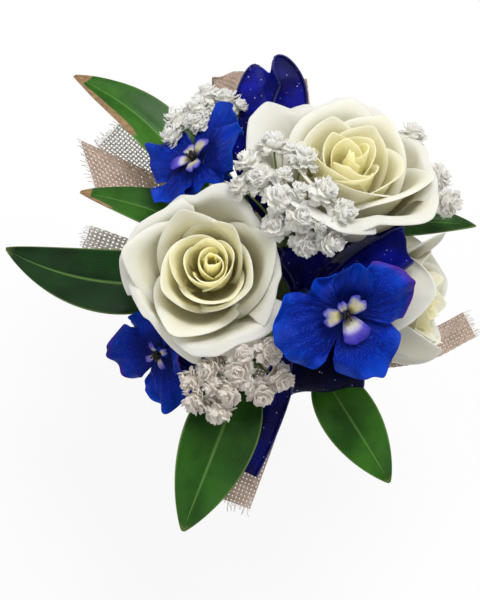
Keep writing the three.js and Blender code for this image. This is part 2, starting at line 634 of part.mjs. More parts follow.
// Soft pieces give way to the ones listed before them: each is cut back by the room its neighbours need.
corsage.updateMatrixWorld(true);
const touching = (a, b) => [0, 1, 2].every((k) => a.min[k] < b.max[k] && b.min[k] < a.max[k]);
const settled = [];
for (const { mesh, room } of pieces) {
  let body = toSolid(mesh.geometry.clone().applyMatrix4(mesh.matrixWorld));
  const whole = body;
  for (const earlier of settled) {
    if (touching(body.boundingBox(), earlier.boundingBox())) body = body.subtract(earlier);
  }
  if (body !== whole) {
    const largest = body.decompose().sort((a, b) => b.volume() - a.volume())[0];
    mesh.geometry = toGeometry(largest).applyMatrix4(mesh.matrixWorld.clone().invert());
  }
  settled.push(toSolid(room.applyMatrix4(mesh.matrixWorld)));
}

export default corsage;
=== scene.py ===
import math
import re

import bpy
import numpy as np
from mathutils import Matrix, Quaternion, Vector


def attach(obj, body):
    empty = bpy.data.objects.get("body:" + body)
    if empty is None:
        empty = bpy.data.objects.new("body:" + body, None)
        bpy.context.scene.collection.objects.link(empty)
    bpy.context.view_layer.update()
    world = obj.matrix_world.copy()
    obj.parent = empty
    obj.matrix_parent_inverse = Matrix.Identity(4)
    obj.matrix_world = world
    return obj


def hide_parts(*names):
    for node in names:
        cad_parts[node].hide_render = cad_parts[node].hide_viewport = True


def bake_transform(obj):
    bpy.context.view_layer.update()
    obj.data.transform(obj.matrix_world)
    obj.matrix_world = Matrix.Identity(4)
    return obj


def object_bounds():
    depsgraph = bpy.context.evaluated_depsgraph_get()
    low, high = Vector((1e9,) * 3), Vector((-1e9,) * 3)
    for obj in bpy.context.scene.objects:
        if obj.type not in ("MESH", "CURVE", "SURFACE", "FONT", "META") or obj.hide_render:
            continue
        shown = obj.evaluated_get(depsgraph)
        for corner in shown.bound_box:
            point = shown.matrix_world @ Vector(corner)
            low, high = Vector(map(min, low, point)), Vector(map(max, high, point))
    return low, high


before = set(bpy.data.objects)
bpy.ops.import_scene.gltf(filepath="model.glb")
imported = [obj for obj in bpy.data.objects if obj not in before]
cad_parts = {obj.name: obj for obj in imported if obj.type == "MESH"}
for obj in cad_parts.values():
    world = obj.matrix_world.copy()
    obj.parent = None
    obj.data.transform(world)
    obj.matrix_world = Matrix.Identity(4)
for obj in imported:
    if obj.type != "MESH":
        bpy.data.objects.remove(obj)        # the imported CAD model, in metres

cadLow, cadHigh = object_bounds()
scene = bpy.context.scene
scene.view_settings.view_transform = "Standard"

mm = 0.001
fullTurn = 2 * np.pi
goldenTurn = 2.4  # radians, spaces stamens and stem ends evenly
bunchLift = np.array((0, 0, 32.9))  # middle of the stem bundle, seen from the wrist centre, mm
dice = np.random.default_rng(11)


# numbers and curves

def smooth(low, high, value):
    share = np.clip((np.asarray(value, float) - low) / (high - low), 0, 1)
    return share * share * (3 - 2 * share)


def unit(v):
    v = np.asarray(v, float)
    return v / np.linalg.norm(v, axis=-1, keepdims=True)


def lifted(points):  # places are written from the middle of the bundle
    return np.array(points, float) + bunchLift


def phases(count):
    return dice.uniform(0, fullTurn, count)


def ringAngles(count):
    return np.linspace(0, fullTurn, count, endpoint=False)


def nodeName(name):  # roseFront stands for rose_front, netTailLeft for mesh_tail_left
    words = re.sub("([A-Z])", r"_\1", name).lower()
    return words.replace("net_", "mesh_").replace("sheer_", "organza_")


def facingFrame(facing, spin):  # columns: across, up the picture, out of the bloom
    turn = Vector((0, 0, 1)).rotation_difference(Vector(facing).normalized())
    turn = turn @ Quaternion((0, 0, 1), math.radians(spin))
    return np.array(turn.to_matrix())


def circle(radius, angle):
    return np.stack((radius * np.cos(angle), radius * np.sin(angle)), -1)


def fanned(out, side, up, angle):  # out along an angle, sideways to it and up the axis
    return np.stack(np.broadcast_arrays(out * np.cos(angle) - side * np.sin(angle),
                                        out * np.sin(angle) + side * np.cos(angle), up), -1)


def inPlace(place, base, turn):
    return lambda across, along: place(across, along) @ turn.T + base


def curveThrough(points, share):  # smooth curve through all the points, share 0..1
    points = np.asarray(points, float)
    ends = np.vstack((2 * points[0] - points[1], points, 2 * points[-1] - points[-2]))
    place = np.clip(np.asarray(share, float), 0, 1) * (len(points) - 1)
    first = np.minimum(place.astype(int), len(points) - 2)
    t = (place - first)[..., None]
    p0, p1, p2, p3 = (ends[first + k] for k in range(4))
    d0, d1, d2 = (np.maximum(np.linalg.norm(b - a, axis=-1, keepdims=True), 1e-4) ** 0.5
                  for a, b in ((p0, p1), (p1, p2), (p2, p3)))
    m1 = ((p1 - p0) / d0 - (p2 - p0) / (d0 + d1) + (p2 - p1) / d1) * d1
    m2 = ((p2 - p1) / d1 - (p3 - p1) / (d1 + d2) + (p3 - p2) / d2) * d1
    return p1 + m1 * t + (3 * (p2 - p1) - 2 * m1 - m2) * t ** 2 + (2 * (p1 - p2) + m1 + m2) * t ** 3


def sampled(points, count, start=0.0, end=1.0):
    return curveThrough(points, np.linspace(start, end, count))


def lineNormals(line):  # two directions beside a line, carried along it without twisting
    tangent = unit(np.gradient(line, axis=0))
    side = np.cross(tangent[0], (0, 0, 1) if abs(tangent[0][2]) < 0.8 else (1, 0, 0))
    sides = []
    for t in tangent:
        side = unit(side - t * np.dot(side, t))
        sides.append(side)
    return np.array(sides), np.cross(tangent, sides)


# meshes

def quads(rows, columns, closedRows=False, closedColumns=False, woven=False):  # over rows of points
    return [(r * columns + c, r * columns + (c + 1) % columns,
             (r + 1) % rows * columns + (c + 1) % columns, (r + 1) % rows * columns + c)
            for r in range(rows if closedRows else rows - 1)
            for c in range(columns if closedColumns else columns - 1)
            if not (woven and r % 2 and c % 2)]


class Skin:  # faces of one piece in millimetres, with marks for its material
    marks = ("across", "along", "tone", "layer")

    def __init__(self):
        self.points, self.faces, self.values, self.total = [], [], [], 0

    def add(self, points, faces, across, along, tone=0.5, layer=0.0):
        points = np.asarray(points, float).reshape(-1, 3)
        values = np.empty((len(points), len(self.marks)))
        for k, mark in enumerate((across, along, tone, layer)):
            values[:, k] = np.broadcast_to(np.asarray(mark, float).ravel(), len(points))
        self.points.append(points)
        self.values.append(values)
        self.faces += [tuple(i + self.total for i in face) for face in faces]
        self.total += len(points)

    def grid(self, place, columns, rows, tone=0.5, layer=0.0):
        across, along = np.meshgrid(np.linspace(-1, 1, columns + 1), np.linspace(0, 1, rows + 1))
        layer = layer(across, along) if callable(layer) else layer
        self.add(place(across, along), quads(rows + 1, columns + 1), across, along, tone, layer)

    def rings(self, loops, tone=0.5, closed=False, across=None):  # skin over rings of points
        loops = np.asarray(loops, float)
        count, sides = loops.shape[:2]
        faces = quads(count, sides, closed, True)
        if not closed:
            faces += [tuple(range(sides - 1, -1, -1)), tuple(range((count - 1) * sides, count * sides))]
        across = np.linspace(-1, 1, sides) if across is None else across
        self.add(loops, faces, np.tile(across, count), np.repeat(np.linspace(0, 1, count), sides), tone)

    def tube(self, line, radius, sides, tone=0.5):
        line = np.asarray(line, float)
        side, over = lineNormals(line)
        turn = ringAngles(sides)
        radius = np.broadcast_to(np.asarray(radius, float), len(line))[:, None, None]
        loops = line[:, None] + radius * (side[:, None] * np.cos(turn)[None, :, None]
                                          + over[:, None] * np.sin(turn)[None, :, None])
        self.rings(loops, tone, across=turn / np.pi - 1)

    def make(self, name, material, body="corsage", stands=(), slot=None, thick=0.0, rounds=0, soft=True):
        mesh = bpy.data.meshes.new(name)
        mesh.from_pydata((np.vstack(self.points) * mm).tolist(), [], self.faces)
        mesh.polygons.foreach_set("use_smooth", [soft] * len(mesh.polygons))
        values = np.vstack(self.values)
        for k, mark in enumerate(self.marks):
            layer = mesh.attributes.new(mark, "FLOAT", "POINT")
            layer.data.foreach_set("value", values[:, k].astype(np.float32))
        mesh.materials.append(material)
        obj = bpy.data.objects.new(name, mesh)
        scene.collection.objects.link(obj)
        if thick:
            shell = obj.modifiers.new("thickness", "SOLIDIFY")
            shell.thickness, shell.offset = thick * mm, 0
        if rounds:
            fine = obj.modifiers.new("rounding", "SUBSURF")
            fine.levels = fine.render_levels = rounds
        if body:
            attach(obj, body)
        if stands:
            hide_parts(*stands)
        return obj


# material nodes

def linear(code):  # "#rrggbb" as a socket takes it
    parts = [int(code[k:k + 2], 16) / 255 for k in (1, 3, 5)]
    return tuple(c / 12.92 if c <= 0.04045 else ((c + 0.055) / 1.055) ** 2.4 for c in parts) + (1.0,)


class Nodes:  # short ways to add nodes to one tree
    def __init__(self, tree):
        self.tree = tree
        tree.nodes.clear()

    def put(self, kind, sockets=None, **settings):
        made = self.tree.nodes.new(kind)
        for key, value in settings.items():
            setattr(made, key, value)
        for key, value in (sockets or {}).items():
            if isinstance(value, bpy.types.NodeSocket):
                self.tree.links.new(value, made.inputs[key])
            else:
                made.inputs[key].default_value = linear(value) if isinstance(value, str) else value
        return made

    def mark(self, name):
        return self.put("ShaderNodeAttribute", attribute_name=name).outputs["Fac"]

    def place(self):
        return self.put("ShaderNodeTexCoord").outputs["Object"]

    def calc(self, operation, a, b=0.0):
        return self.put("ShaderNodeMath", {0: a, 1: b}, operation=operation).outputs[0]

    def times(self, a, b):
        return self.calc("MULTIPLY", a, b)

    def spread(self, value, low, high, toLow=0.0, toHigh=1.0):
        ends = {"From Min": low, "From Max": high, "To Min": toLow, "To Max": toHigh}
        made = self.put("ShaderNodeMapRange", {"Value": value, **ends}, interpolation_type="SMOOTHSTEP")
        return made.outputs["Result"]

    def grade(self, mask, low, high):  # a value between two ends, as the mask says
        return self.spread(mask, 0, 1, low, high)

    def mix(self, share, a, b):
        return self.put("ShaderNodeMix", {0: share, 6: a, 7: b}, data_type="RGBA").outputs[2]

    def tint(self, base, colour, mask, share):
        return self.mix(self.times(mask, share), base, colour)

    def ramp(self, value, *stops):
        made = self.put("ShaderNodeValToRGB", {"Fac": value})
        elements = made.color_ramp.elements
        elements[0].position, elements[1].position = stops[0][0], stops[-1][0]
        for place, _ in stops[1:-1]:
            elements.new(place)
        for element, (_, code) in zip(elements, stops):
            element.color = linear(code)
        return made.outputs["Color"]

    def noise(self, scale, detail, place=None):
        sockets = {"Vector": place or self.place(), "Scale": scale, "Detail": detail}
        return self.put("ShaderNodeTexNoise", sockets).outputs["Fac"]

    def use(self, group, **values):
        return self.put("ShaderNodeGroup", values, node_tree=group).outputs

    def vein(self, count, wander, fan):
        return self.use(fineVeins, Count=count, Wander=wander, Fan=fan)["Mask"]

    def cloud(self, scale, low=0.3, high=0.7):
        return self.use(softBlotches, Scale=scale, Low=low, High=high)["Mask"]

    def margin(self, start):
        return self.use(edgeStrip, Start=start)["Mask"]

    def finish(self, colour, rough, height, bump, depth, through=0.0, glow=None, flesh=(), **sockets):
        raised = self.put("ShaderNodeBump", {"Height": height, "Strength": bump, "Distance": depth})
        values = {"Base Color": colour, "Roughness": rough, "Normal": raised.outputs[0]}
        values.update({key.replace("_", " "): value for key, value in sockets.items()})
        values.update(zip(("Subsurface Weight", "Subsurface Radius", "Subsurface Scale"), flesh))
        surface = self.put("ShaderNodeBsdfPrincipled", values).outputs["BSDF"]
        if through:  # thin petals and threads pass some light on
            thin = self.put("ShaderNodeBsdfTranslucent", {"Color": glow or colour}).outputs[0]
            surface = self.put("ShaderNodeMixShader", {0: through, 1: surface, 2: thin}).outputs[0]
        self.put("ShaderNodeOutputMaterial", {"Surface": surface})


def startGroup(name, gives, **takes):
    group = bpy.data.node_groups.new(name, "ShaderNodeTree")
    for label, value in takes.items():
        taken = group.interface.new_socket(name=label, in_out="INPUT", socket_type="NodeSocketFloat")
        taken.default_value = value
    for label in gives:
        group.interface.new_socket(name=label, in_out="OUTPUT", socket_type="NodeSocketFloat")
    n = Nodes(group)
    return group, n, n.put("NodeGroupInput").outputs


# shared effects: fine veins fanning along a petal or leaf, soft blotches, the strip along an edge, a weave

def makeVeins():
    group, n, take = startGroup("fineVeins", ("Mask",), Count=10, Wander=0.3, Fan=0.3)
    fan = n.calc("SUBTRACT", 1.0, n.times(n.mark("along"), take["Fan"]))
    stray = n.times(n.calc("SUBTRACT", n.noise(350, 2), 0.5), take["Wander"])
    place = n.calc("ADD", n.times(n.mark("across"), fan), stray)
    wave = n.calc("SINE", n.times(n.times(place, take["Count"]), math.pi))
    n.put("NodeGroupOutput", {"Mask": n.spread(n.calc("ABSOLUTE", wave), 0.0, 0.55, 1.0, 0.0)})
    return group


def makeBlotches():
    group, n, take = startGroup("softBlotches", ("Mask",), Scale=200, Low=0.35, High=0.65)
    n.put("NodeGroupOutput", {"Mask": n.spread(n.noise(take["Scale"], 4.0), take["Low"], take["High"])})
    return group


def makeEdge():
    group, n, take = startGroup("edgeStrip", ("Mask",), Start=0.85)
    far = n.calc("MAXIMUM", n.calc("ABSOLUTE", n.mark("across")), n.mark("along"))
    n.put("NodeGroupOutput", {"Mask": n.spread(far, take["Start"], 1.0)})
    return group


def makeWeave():  # across and along are counted in threads
    group, n, take = startGroup("threadWeave", ("Height", "Gap"), Across=60, Along=200)
    warp, weft = (n.calc("SINE", n.times(n.times(n.mark(mark), take[mark.title()]), math.pi))
                  for mark in ("across", "along"))
    over = n.calc("ADD", n.times(n.times(warp, weft), 0.5), 0.5)
    lattice = n.times(n.calc("ABSOLUTE", warp), n.calc("ABSOLUTE", weft))
    n.put("NodeGroupOutput", {"Height": over, "Gap": n.spread(lattice, 0.25, 0.6)})
    return group


fineVeins, softBlotches, edgeStrip, threadWeave = makeVeins(), makeBlotches(), makeEdge(), makeWeave()


# finishes: along runs from foot to tip, tone and layer tell the pieces of one finish apart

def roseCream(n):  # layer: 0 the heart, 1 the outer petals
    along, layer = n.mark("along"), n.mark("layer")
    # petal cream, yellower at the foot; the darker foot is partly painted shade deep in the bloom
    inner = n.ramp(along, (0.0, "#e6dc9c"), (0.4, "#f4eec2"), (0.68, "#f8f5d6"), (0.86, "#fbf9e2"),
                   (1.0, "#fefdf4"))
    # the outer petals' cream, greyer and darker than the heart's: partly painted shade on the outer ring
    outer = n.ramp(along, (0.0, "#ccc796"), (0.35, "#dddac4"), (0.65, "#e5e3d8"), (0.9, "#ecebe4"),
                   (1.0, "#f8f8f4"))
    vein, cloud = n.vein(26, 0.12, 0.25), n.cloud(150, 0.3, 0.75)
    lined = n.tint(n.mix(layer, inner, outer), "#d9cf9e", vein, 0.1)
    warmed = n.tint(lined, "#f8f2de", cloud, 0.25)
    bruised = n.tint(warmed, "#a98c50", n.times(n.cloud(420, 0.66, 0.78), n.margin(0.93)), 0.45)
    toned = n.tint(bruised, "#e6e4d2", n.mark("tone"), 0.12)
    n.finish(toned, n.grade(cloud, 0.5, 0.62), vein, 0.1, 0.00015,
             through=n.spread(layer, 0.0, 0.55, 0.74, 0.18), glow="#fffce2", Specular_IOR_Level=0.3,
             flesh=(0.25, (1.0, 0.85, 0.5), 0.002))


def stemGreen(n):
    cloud, vein = n.cloud(260), n.vein(7, 0.2, 0.1)
    streaked = n.tint(n.mix(cloud, "#4c6b2c", "#7d9a4c"), "#8fa763", vein, 0.35)
    n.finish(streaked, n.grade(cloud, 0.45, 0.65), vein, 0.25, 0.0002,
             flesh=(0.1, (0.5, 1.0, 0.2), 0.001))


def sepalBlue(n):  # layer: how purple the tip is
    along = n.mark("along")
    # darker towards the foot; the near-black foot is painted shade in the floret's throat
    base = n.ramp(along, (0.0, "#02042e"), (0.25, "#030c66"), (0.6, "#0328a8"), (1.0, "#0648cc"))
    cloud, vein = n.cloud(130, 0.32, 0.7), n.vein(11, 0.5, 0.45)
    lined = n.tint(n.tint(base, "#010a62", cloud, 0.6), "#0a5ae0", vein, 0.35)
    tip = n.times(n.spread(along, 0.82, 1.06), n.mark("layer"))
    purple = n.tint(lined, "#5c1f86", tip, n.grade(n.cloud(110, 0.25, 0.6), 0.55, 1.0))
    toned = n.tint(purple, "#010440", n.mark("tone"), 0.35)
    n.finish(toned, n.grade(cloud, 0.42, 0.6), vein, 0.3, 0.0004, Specular_IOR_Level=0.1,
             flesh=(0.1, (0.3, 0.35, 1.0), 0.0016))


def eyePale(n):  # layer: how lilac the petal is
    along = n.mark("along")
    # both ramps start near black at the foot: painted shade in the floret's throat
    cream = n.ramp(along, (0.0, "#15102c"), (0.22, "#857d52"), (0.4, "#d2cb90"), (0.75, "#d8d2ac"),
                   (1.0, "#5f58b8"))
    lilac = n.ramp(along, (0.0, "#15102c"), (0.2, "#96906e"), (0.34, "#dad6c4"), (0.48, "#cdc7e2"),
                   (0.64, "#6d5bca"), (1.0, "#4c3ab6"))
    vein = n.vein(7, 0.6, 0.4)
    lined = n.tint(n.mix(n.mark("layer"), cream, lilac), "#56489c", vein, 0.35)
    faded = n.tint(lined, "#2c2fae", n.margin(0.4), n.grade(n.cloud(420), 0.45, 0.95))
    n.finish(faded, n.grade(vein, 0.55, 0.7), vein, 0.25, 0.0003, Specular_IOR_Level=0.15)


def stamenDark(n):
    cloud = n.cloud(900, 0.35, 0.65)
    n.finish(n.mix(cloud, "#16121c", "#3d3524"), n.grade(cloud, 0.55, 0.8), cloud, 0.4, 0.0002)


def blossomWhite(n):  # tone: how aged the blossom is
    along = n.mark("along")
    pure = n.ramp(along, (0.0, "#dadcb4"), (0.3, "#f6f6ee"), (1.0, "#fdfdfc"))
    aged = n.ramp(along, (0.0, "#c2b195"), (0.3, "#eae0d3"), (1.0, "#f8f2ec"))
    cloud = n.cloud(500, 0.4, 0.7)
    shaded = n.tint(n.mix(n.mark("tone"), pure, aged), "#e0dccf", cloud, 0.12)
    n.finish(shaded, n.grade(cloud, 0.55, 0.7), cloud, 0.2, 0.0002, through=0.55, Specular_IOR_Level=0.2)


def leafGloss(n):  # tone: how fresh the leaf is; layer: where the blade has dried
    tone, vein, cloud = n.mark("tone"), n.vein(17, 0.06, 0.0), n.cloud(70)
    base = n.mix(tone, n.mix(cloud, "#031c05", "#08330b"), n.mix(cloud, "#1d4e0c", "#3f7a1c"))
    lined = n.tint(base, "#5f8f45", vein, n.grade(tone, 0.1, 0.28))
    rib = n.spread(n.calc("ABSOLUTE", n.mark("across")), 0.0, 0.07, 1.0, 0.0)
    edged = n.tint(n.tint(lined, "#79a552", rib, 0.45), "#8aa05c", n.margin(0.94), 0.4)
    ragged = n.times(n.calc("SUBTRACT", n.noise(180, 3), 0.5), 0.7)
    dry = n.spread(n.calc("ADD", n.mark("layer"), ragged), 0.35, 0.6)
    colour = n.mix(dry, edged, n.mix(n.noise(500, 2), "#5a3a20", "#bfa078"))
    rough = n.calc("ADD", n.times(cloud, 0.12), n.calc("ADD", n.times(dry, 0.45), 0.3))
    n.finish(colour, rough, vein, 0.22, 0.0003, Specular_IOR_Level=0.16, Coat_Weight=0.05,
             Coat_Roughness=0.14, flesh=(0.08, (0.5, 1.0, 0.2), 0.001))


def netBlush(n):  # tone: from tan to white
    tone, cloud, fibre = n.mark("tone"), n.cloud(260), n.cloud(2600, 0.4, 0.62)
    base = n.mix(tone, n.mix(cloud, "#9c7c64", "#c2a28a"), n.mix(cloud, "#e8e4dc", "#fbf9f5"))
    n.finish(n.tint(base, "#f4e6da", fibre, 0.3), n.grade(fibre, 0.34, 0.5), fibre, 0.35, 0.0002,
             through=n.grade(tone, 0.3, 0.06), glow="#efe4da", Sheen_Weight=0.3)


def organzaSheer(n):  # tone: how dark the navy is, down to near black; partly painted shade where a loop lies in shadow
    edge = n.spread(n.calc("ABSOLUTE", n.mark("across")), 0.8, 0.92)
    cloth = n.use(threadWeave, Across=26, Along=150)
    # the blue darkened towards near black by tone: partly painted shade
    blue = n.mix(n.mark("tone"), n.mix(n.cloud(120), "#03065c", "#0716a0"), "#01010f")
    # painted glints: scattered cells lightened to pale blue for the sparkle off the threads, and smoother
    # there
    cells = n.put("ShaderNodeTexVoronoi", {"Vector": n.place(), "Scale": 1500.0}).outputs
    chosen = n.spread(n.put("ShaderNodeSeparateColor", {"Color": cells["Color"]}).outputs[0], 0.955, 0.97)
    paintedGlint = n.times(chosen, n.spread(cells["Distance"], 0.15, 0.35, 1.0, 0.0))
    colour = n.mix(paintedGlint, n.mix(edge, blue, "#030334"), "#c9d2ff")
    gaps = n.times(cloth["Gap"], n.calc("SUBTRACT", 1.0, edge))
    n.finish(colour, n.grade(paintedGlint, 0.42, 0.15), cloth["Height"], 0.3, 0.0002,
             Alpha=n.calc("SUBTRACT", 1.0, n.times(gaps, 0.22)), Specular_IOR_Level=0.08)


def spunThread(n, across, along, dark, light, rough, bump):
    cloth = n.use(threadWeave, Across=across, Along=along)
    n.finish(n.mix(cloth["Gap"], dark, light), n.grade(cloth["Gap"], *rough), cloth["Height"], bump, 0.0002)


def organzaEdge(n):
    spunThread(n, 6, 220, "#0b0d4c", "#1a2590", (0.3, 0.45), 0.4)


def wireGreen(n):
    spunThread(n, 3, 160, "#3e5230", "#677a4c", (0.45, 0.6), 0.4)


def cottonThread(n):
    spunThread(n, 2, 60, "#d8cfbf", "#efe8da", (0.6, 0.75), 0.5)


def bandSatin(n):
    cloth, cloud = n.use(threadWeave, Across=90, Along=900), n.cloud(180)
    worn = n.tint(n.mix(cloud, "#e6dfd2", "#f3eee4"), "#cdc3b2", cloth["Gap"], 0.2)
    n.finish(worn, n.grade(cloud, 0.34, 0.46), cloth["Height"], 0.25, 0.0001, Sheen_Weight=0.35,
             Anisotropic=0.4)


def clampSteel(n):  # brushed along the plate
    stretched = n.put("ShaderNodeMapping", {"Vector": n.place(), "Scale": (150.0, 4000.0, 4000.0)})
    brushed = n.noise(1.0, 3.0, stretched.outputs[0])
    colour = n.mix(n.cloud(140, 0.4, 0.7), "#b4b7bb", "#8d9095")
    n.finish(colour, n.spread(brushed, 0.3, 0.7, 0.26, 0.42), brushed, 0.08, 0.0001, Metallic=1.0)


def tapeGreen(n):
    crepe = n.cloud(1900, 0.35, 0.65)
    worn = n.tint(n.mix(n.cloud(240), "#4f6a38", "#6f8a4e"), "#8ba066", crepe, 0.25)
    n.finish(worn, n.grade(crepe, 0.6, 0.8), crepe, 0.4, 0.0003)


def makeMaterial(finish):
    material = bpy.data.materials.new(finish.__name__)
    material.use_nodes = True
    finish(Nodes(material.node_tree))
    return material


petalSkin, stemSkin, sepalSkin, eyeSkin = map(makeMaterial, (roseCream, stemGreen, sepalBlue, eyePale))
stamenSkin, blossomSkin, leafSkin = map(makeMaterial, (stamenDark, blossomWhite, leafGloss))
netSkin, sheerSkin, sheerEdgeSkin = map(makeMaterial, (netBlush, organzaSheer, organzaEdge))
satinSkin, steelSkin, threadSkin = map(makeMaterial, (bandSatin, clampSteel, cottonThread))
tapeSkin, wireSkin = map(makeMaterial, (tapeGreen, wireGreen))
print("materials ready")


# roses: nested cups of petals, each later petal outside the ones before it

roseLook = {
    "spiral": 17, "heartPetals": 12, "golden": 137.5, "firstTurn": 40, "turnStray": 12, "axisStray": 0.05,
    "leaning": (5, 16), "grid": (22, 16), "outerPetals": 5, "outerGrid": (36, 18), "guardPeak": 0.12,
    "thick": 0.3, "outerThick": 0.4, "hip": (5, 7), "stemRadius": 1.5,
    # four petals of the spiral, from the core outwards: profile (out, up) and form
    "keys": (0, 6, 12, 16),
    "lines": (((0.02, 0.20), (0.05, 0.36), (0.068, 0.52), (0.066, 0.67), (0.046, 0.80), (0.014, 0.88)),
              ((0.10, 0.14), (0.20, 0.28), (0.26, 0.48), (0.285, 0.68), (0.285, 0.82), (0.27, 0.92)),
              ((0.16, 0.07), (0.36, 0.17), (0.49, 0.38), (0.55, 0.62), (0.58, 0.81), (0.61, 0.95)),
              ((0.20, 0.03), (0.46, 0.11), (0.64, 0.32), (0.74, 0.58), (0.80, 0.78), (0.87, 0.92))),
    "inner": {
        "half": (120, 96, 80, 70), "rim": (0.2, 0.42, 0.5, 0.5), "curl": (0.012, 0.04, 0.08, 0.11),
        "swirl": (0.012, 0.022, 0.022, 0.02), "bow": (0.0, 0.1, 0.16, 0.16),
        "peak": (0.05, 0.08, 0.12, 0.14), "fold": (0.05, 0.1, 0.14, 0.14)},
    "outerLine": ((0.22, 0), (0.5, 0.1), (0.72, 0.35), (0.83, 0.6), (0.92, 0.77), (1.0, 0.83)),
    "outer": {"half": 48, "rim": 0.16, "curl": 0.09, "step": 1.25, "peak": 0.03},
    # facing is the calyx's axis, heart the core's; corners: the outline, as angle and reach of the size
    "roses": {
        "roseFront": {
            "base": (-22.5, -0.5, 8.6), "facing": (-0.12, -0.17, 0.98), "heart": (0.0, -0.08, 0.99),
            "spin": 75, "size": 24, "dome": 1.18, "crumple": 1.0, "stem": ((-15, -8, 2.1), (0, -11, 0.1)),
            "corners": ((16, 0.88), (48, 0.93), (72, 1.04), (84, 1.03), (97, 0.93), (107, 1.0), (122, 0.94),
                        (143, 0.97), (169, 1.03), (220, 0.84), (262, 1.06), (293, 0.95), (316, 1.04),
                        (348, 0.88))},
        "roseBack": {
            "base": (16, 21, 12.1), "facing": (0.2, 0.42, 0.88), "spin": 20, "heart": (0.14, 0.3, 0.93),
            "size": 27, "dome": 1.26, "crumple": 1.2, "stem": ((8, 13, 4.1), (0, 12, 0.1)),
            "corners": ((12, 0.87), (36, 0.97), (52, 0.94), (68, 1.1), (89, 1.04), (110, 0.93), (114, 1.02),
                        (127, 1.05), (135, 1.28), (152, 1.2), (180, 1.15), (203, 1.06), (232, 1.0),
                        (258, 1.02), (285, 0.86), (312, 1.02), (335, 1.0))},
        "roseSide": {
            "base": (24, -4.5, 1.1), "facing": (0.95, -0.1, 0.22), "spin": 36, "heart": (0.95, -0.1, 0.2),
            "size": 20, "tall": 1.3, "slim": 0.86, "crumple": 3.2, "crease": 0.3, "rim": 0.4,
            "outerLine": ((0.22, 0), (0.5, 0.1), (0.7, 0.33), (0.77, 0.58), (0.78, 0.82), (0.74, 1.0)),
            "stem": ((14, -9, 1.1), (0, -13, 0.1)), "guard": (0.2, -1, -0.2),
            "corners": ((0, 1.05), (60, 1.14), (95, 1.36), (130, 1.14), (180, 1.05), (270, 1.05))},
    },
}


def rosePetal(line, size, centre, half, rim, curl, peak, crumple, tall,
              outline=None, step=0.0, swirl=0.0, bow=0.0, fold=0.05):
    line = np.array([(out, 0, up) for out, up in line], float)
    phase = phases(4)
    lean, peakAt = dice.uniform(-0.05, 0.05), dice.uniform(-0.3, 0.3)

    def place(across, along):
        fromPeak = np.abs(across - peakAt)
        tip = 1 - rim * np.abs(across) ** 2.1 + peak * (np.exp(-fromPeak / 0.25) - 0.4)
        reach = np.clip(along * (tip + 0.015 * np.sin(4 * across + phase[0]) * along), 0, 1.2)
        run = unit(curveThrough(line, np.minimum(reach + 0.01, 1.0))
                   - curveThrough(line, np.minimum(reach, 0.99) - 0.01))
        spot = curveThrough(line, reach) + run * (np.maximum(reach - 1, 0) * 1.2)[..., None]
        out = spot[..., 0] + run[..., 2] * step / size * across + swirl * across * along
        up = spot[..., 2] - run[..., 0] * step / size * across
        roll = curl * np.clip((along - 0.7) / 0.3, 0, 1) ** 2 * (0.7 + 0.7 * fromPeak ** 2)  # rim turned out
        wobble = np.sin(2.3 * across + 2.5 * along + phase[1])
        wobble = wobble + 0.5 * np.sin(4.6 * across - 2 * along + phase[2])
        out = out + roll + 0.011 * crumple * along ** 2 * wobble
        up = up - 1.1 * roll + 0.014 * crumple * along ** 3 * np.sin(3.1 * across + phase[3])
        up = up + lean * across * along ** 2
        angle = math.radians(centre) + across * math.radians(half) * (0.75 + 0.25 * smooth(0, 0.5, along))
        out = np.maximum(out * (1 - bow * across ** 2 * smooth(0.1, 0.6, along)), 0.012)  # ends tucked in
        crease = np.exp(-fromPeak / 0.3) - 0.35  # folded at its peak
        out = out * (1 + fold * crease * smooth(0.3, 0.95, along))
        if outline:
            out = out * (1 + (outline(angle) - 1) * smooth(0.35, 1.0, along))
        return fanned(out, 0, up * tall, angle) * size
    return place


def outlineThrough(corners, spin):  # reach of the rim at an angle, straight from corner to corner
    turns, shares = np.array(corners, float).T
    return lambda angle: np.interp(np.degrees(angle) + spin, turns, shares, period=360)


def between(values, k):  # value of a petal between those of the four key petals
    values = np.asarray(values, float)
    flat = values.reshape(len(values), -1)
    return np.array([np.interp(k, roseLook["keys"], column) for column in flat.T]).reshape(values.shape[1:])


def stemLine(near, far, base, turn, stem):  # down the bloom's axis, then along the stem's places
    axis = np.array(((0, 0, near), (0, 0, far))) @ turn.T + base
    return sampled(np.vstack((axis, lifted(stem))), 22, 0, 0.97)


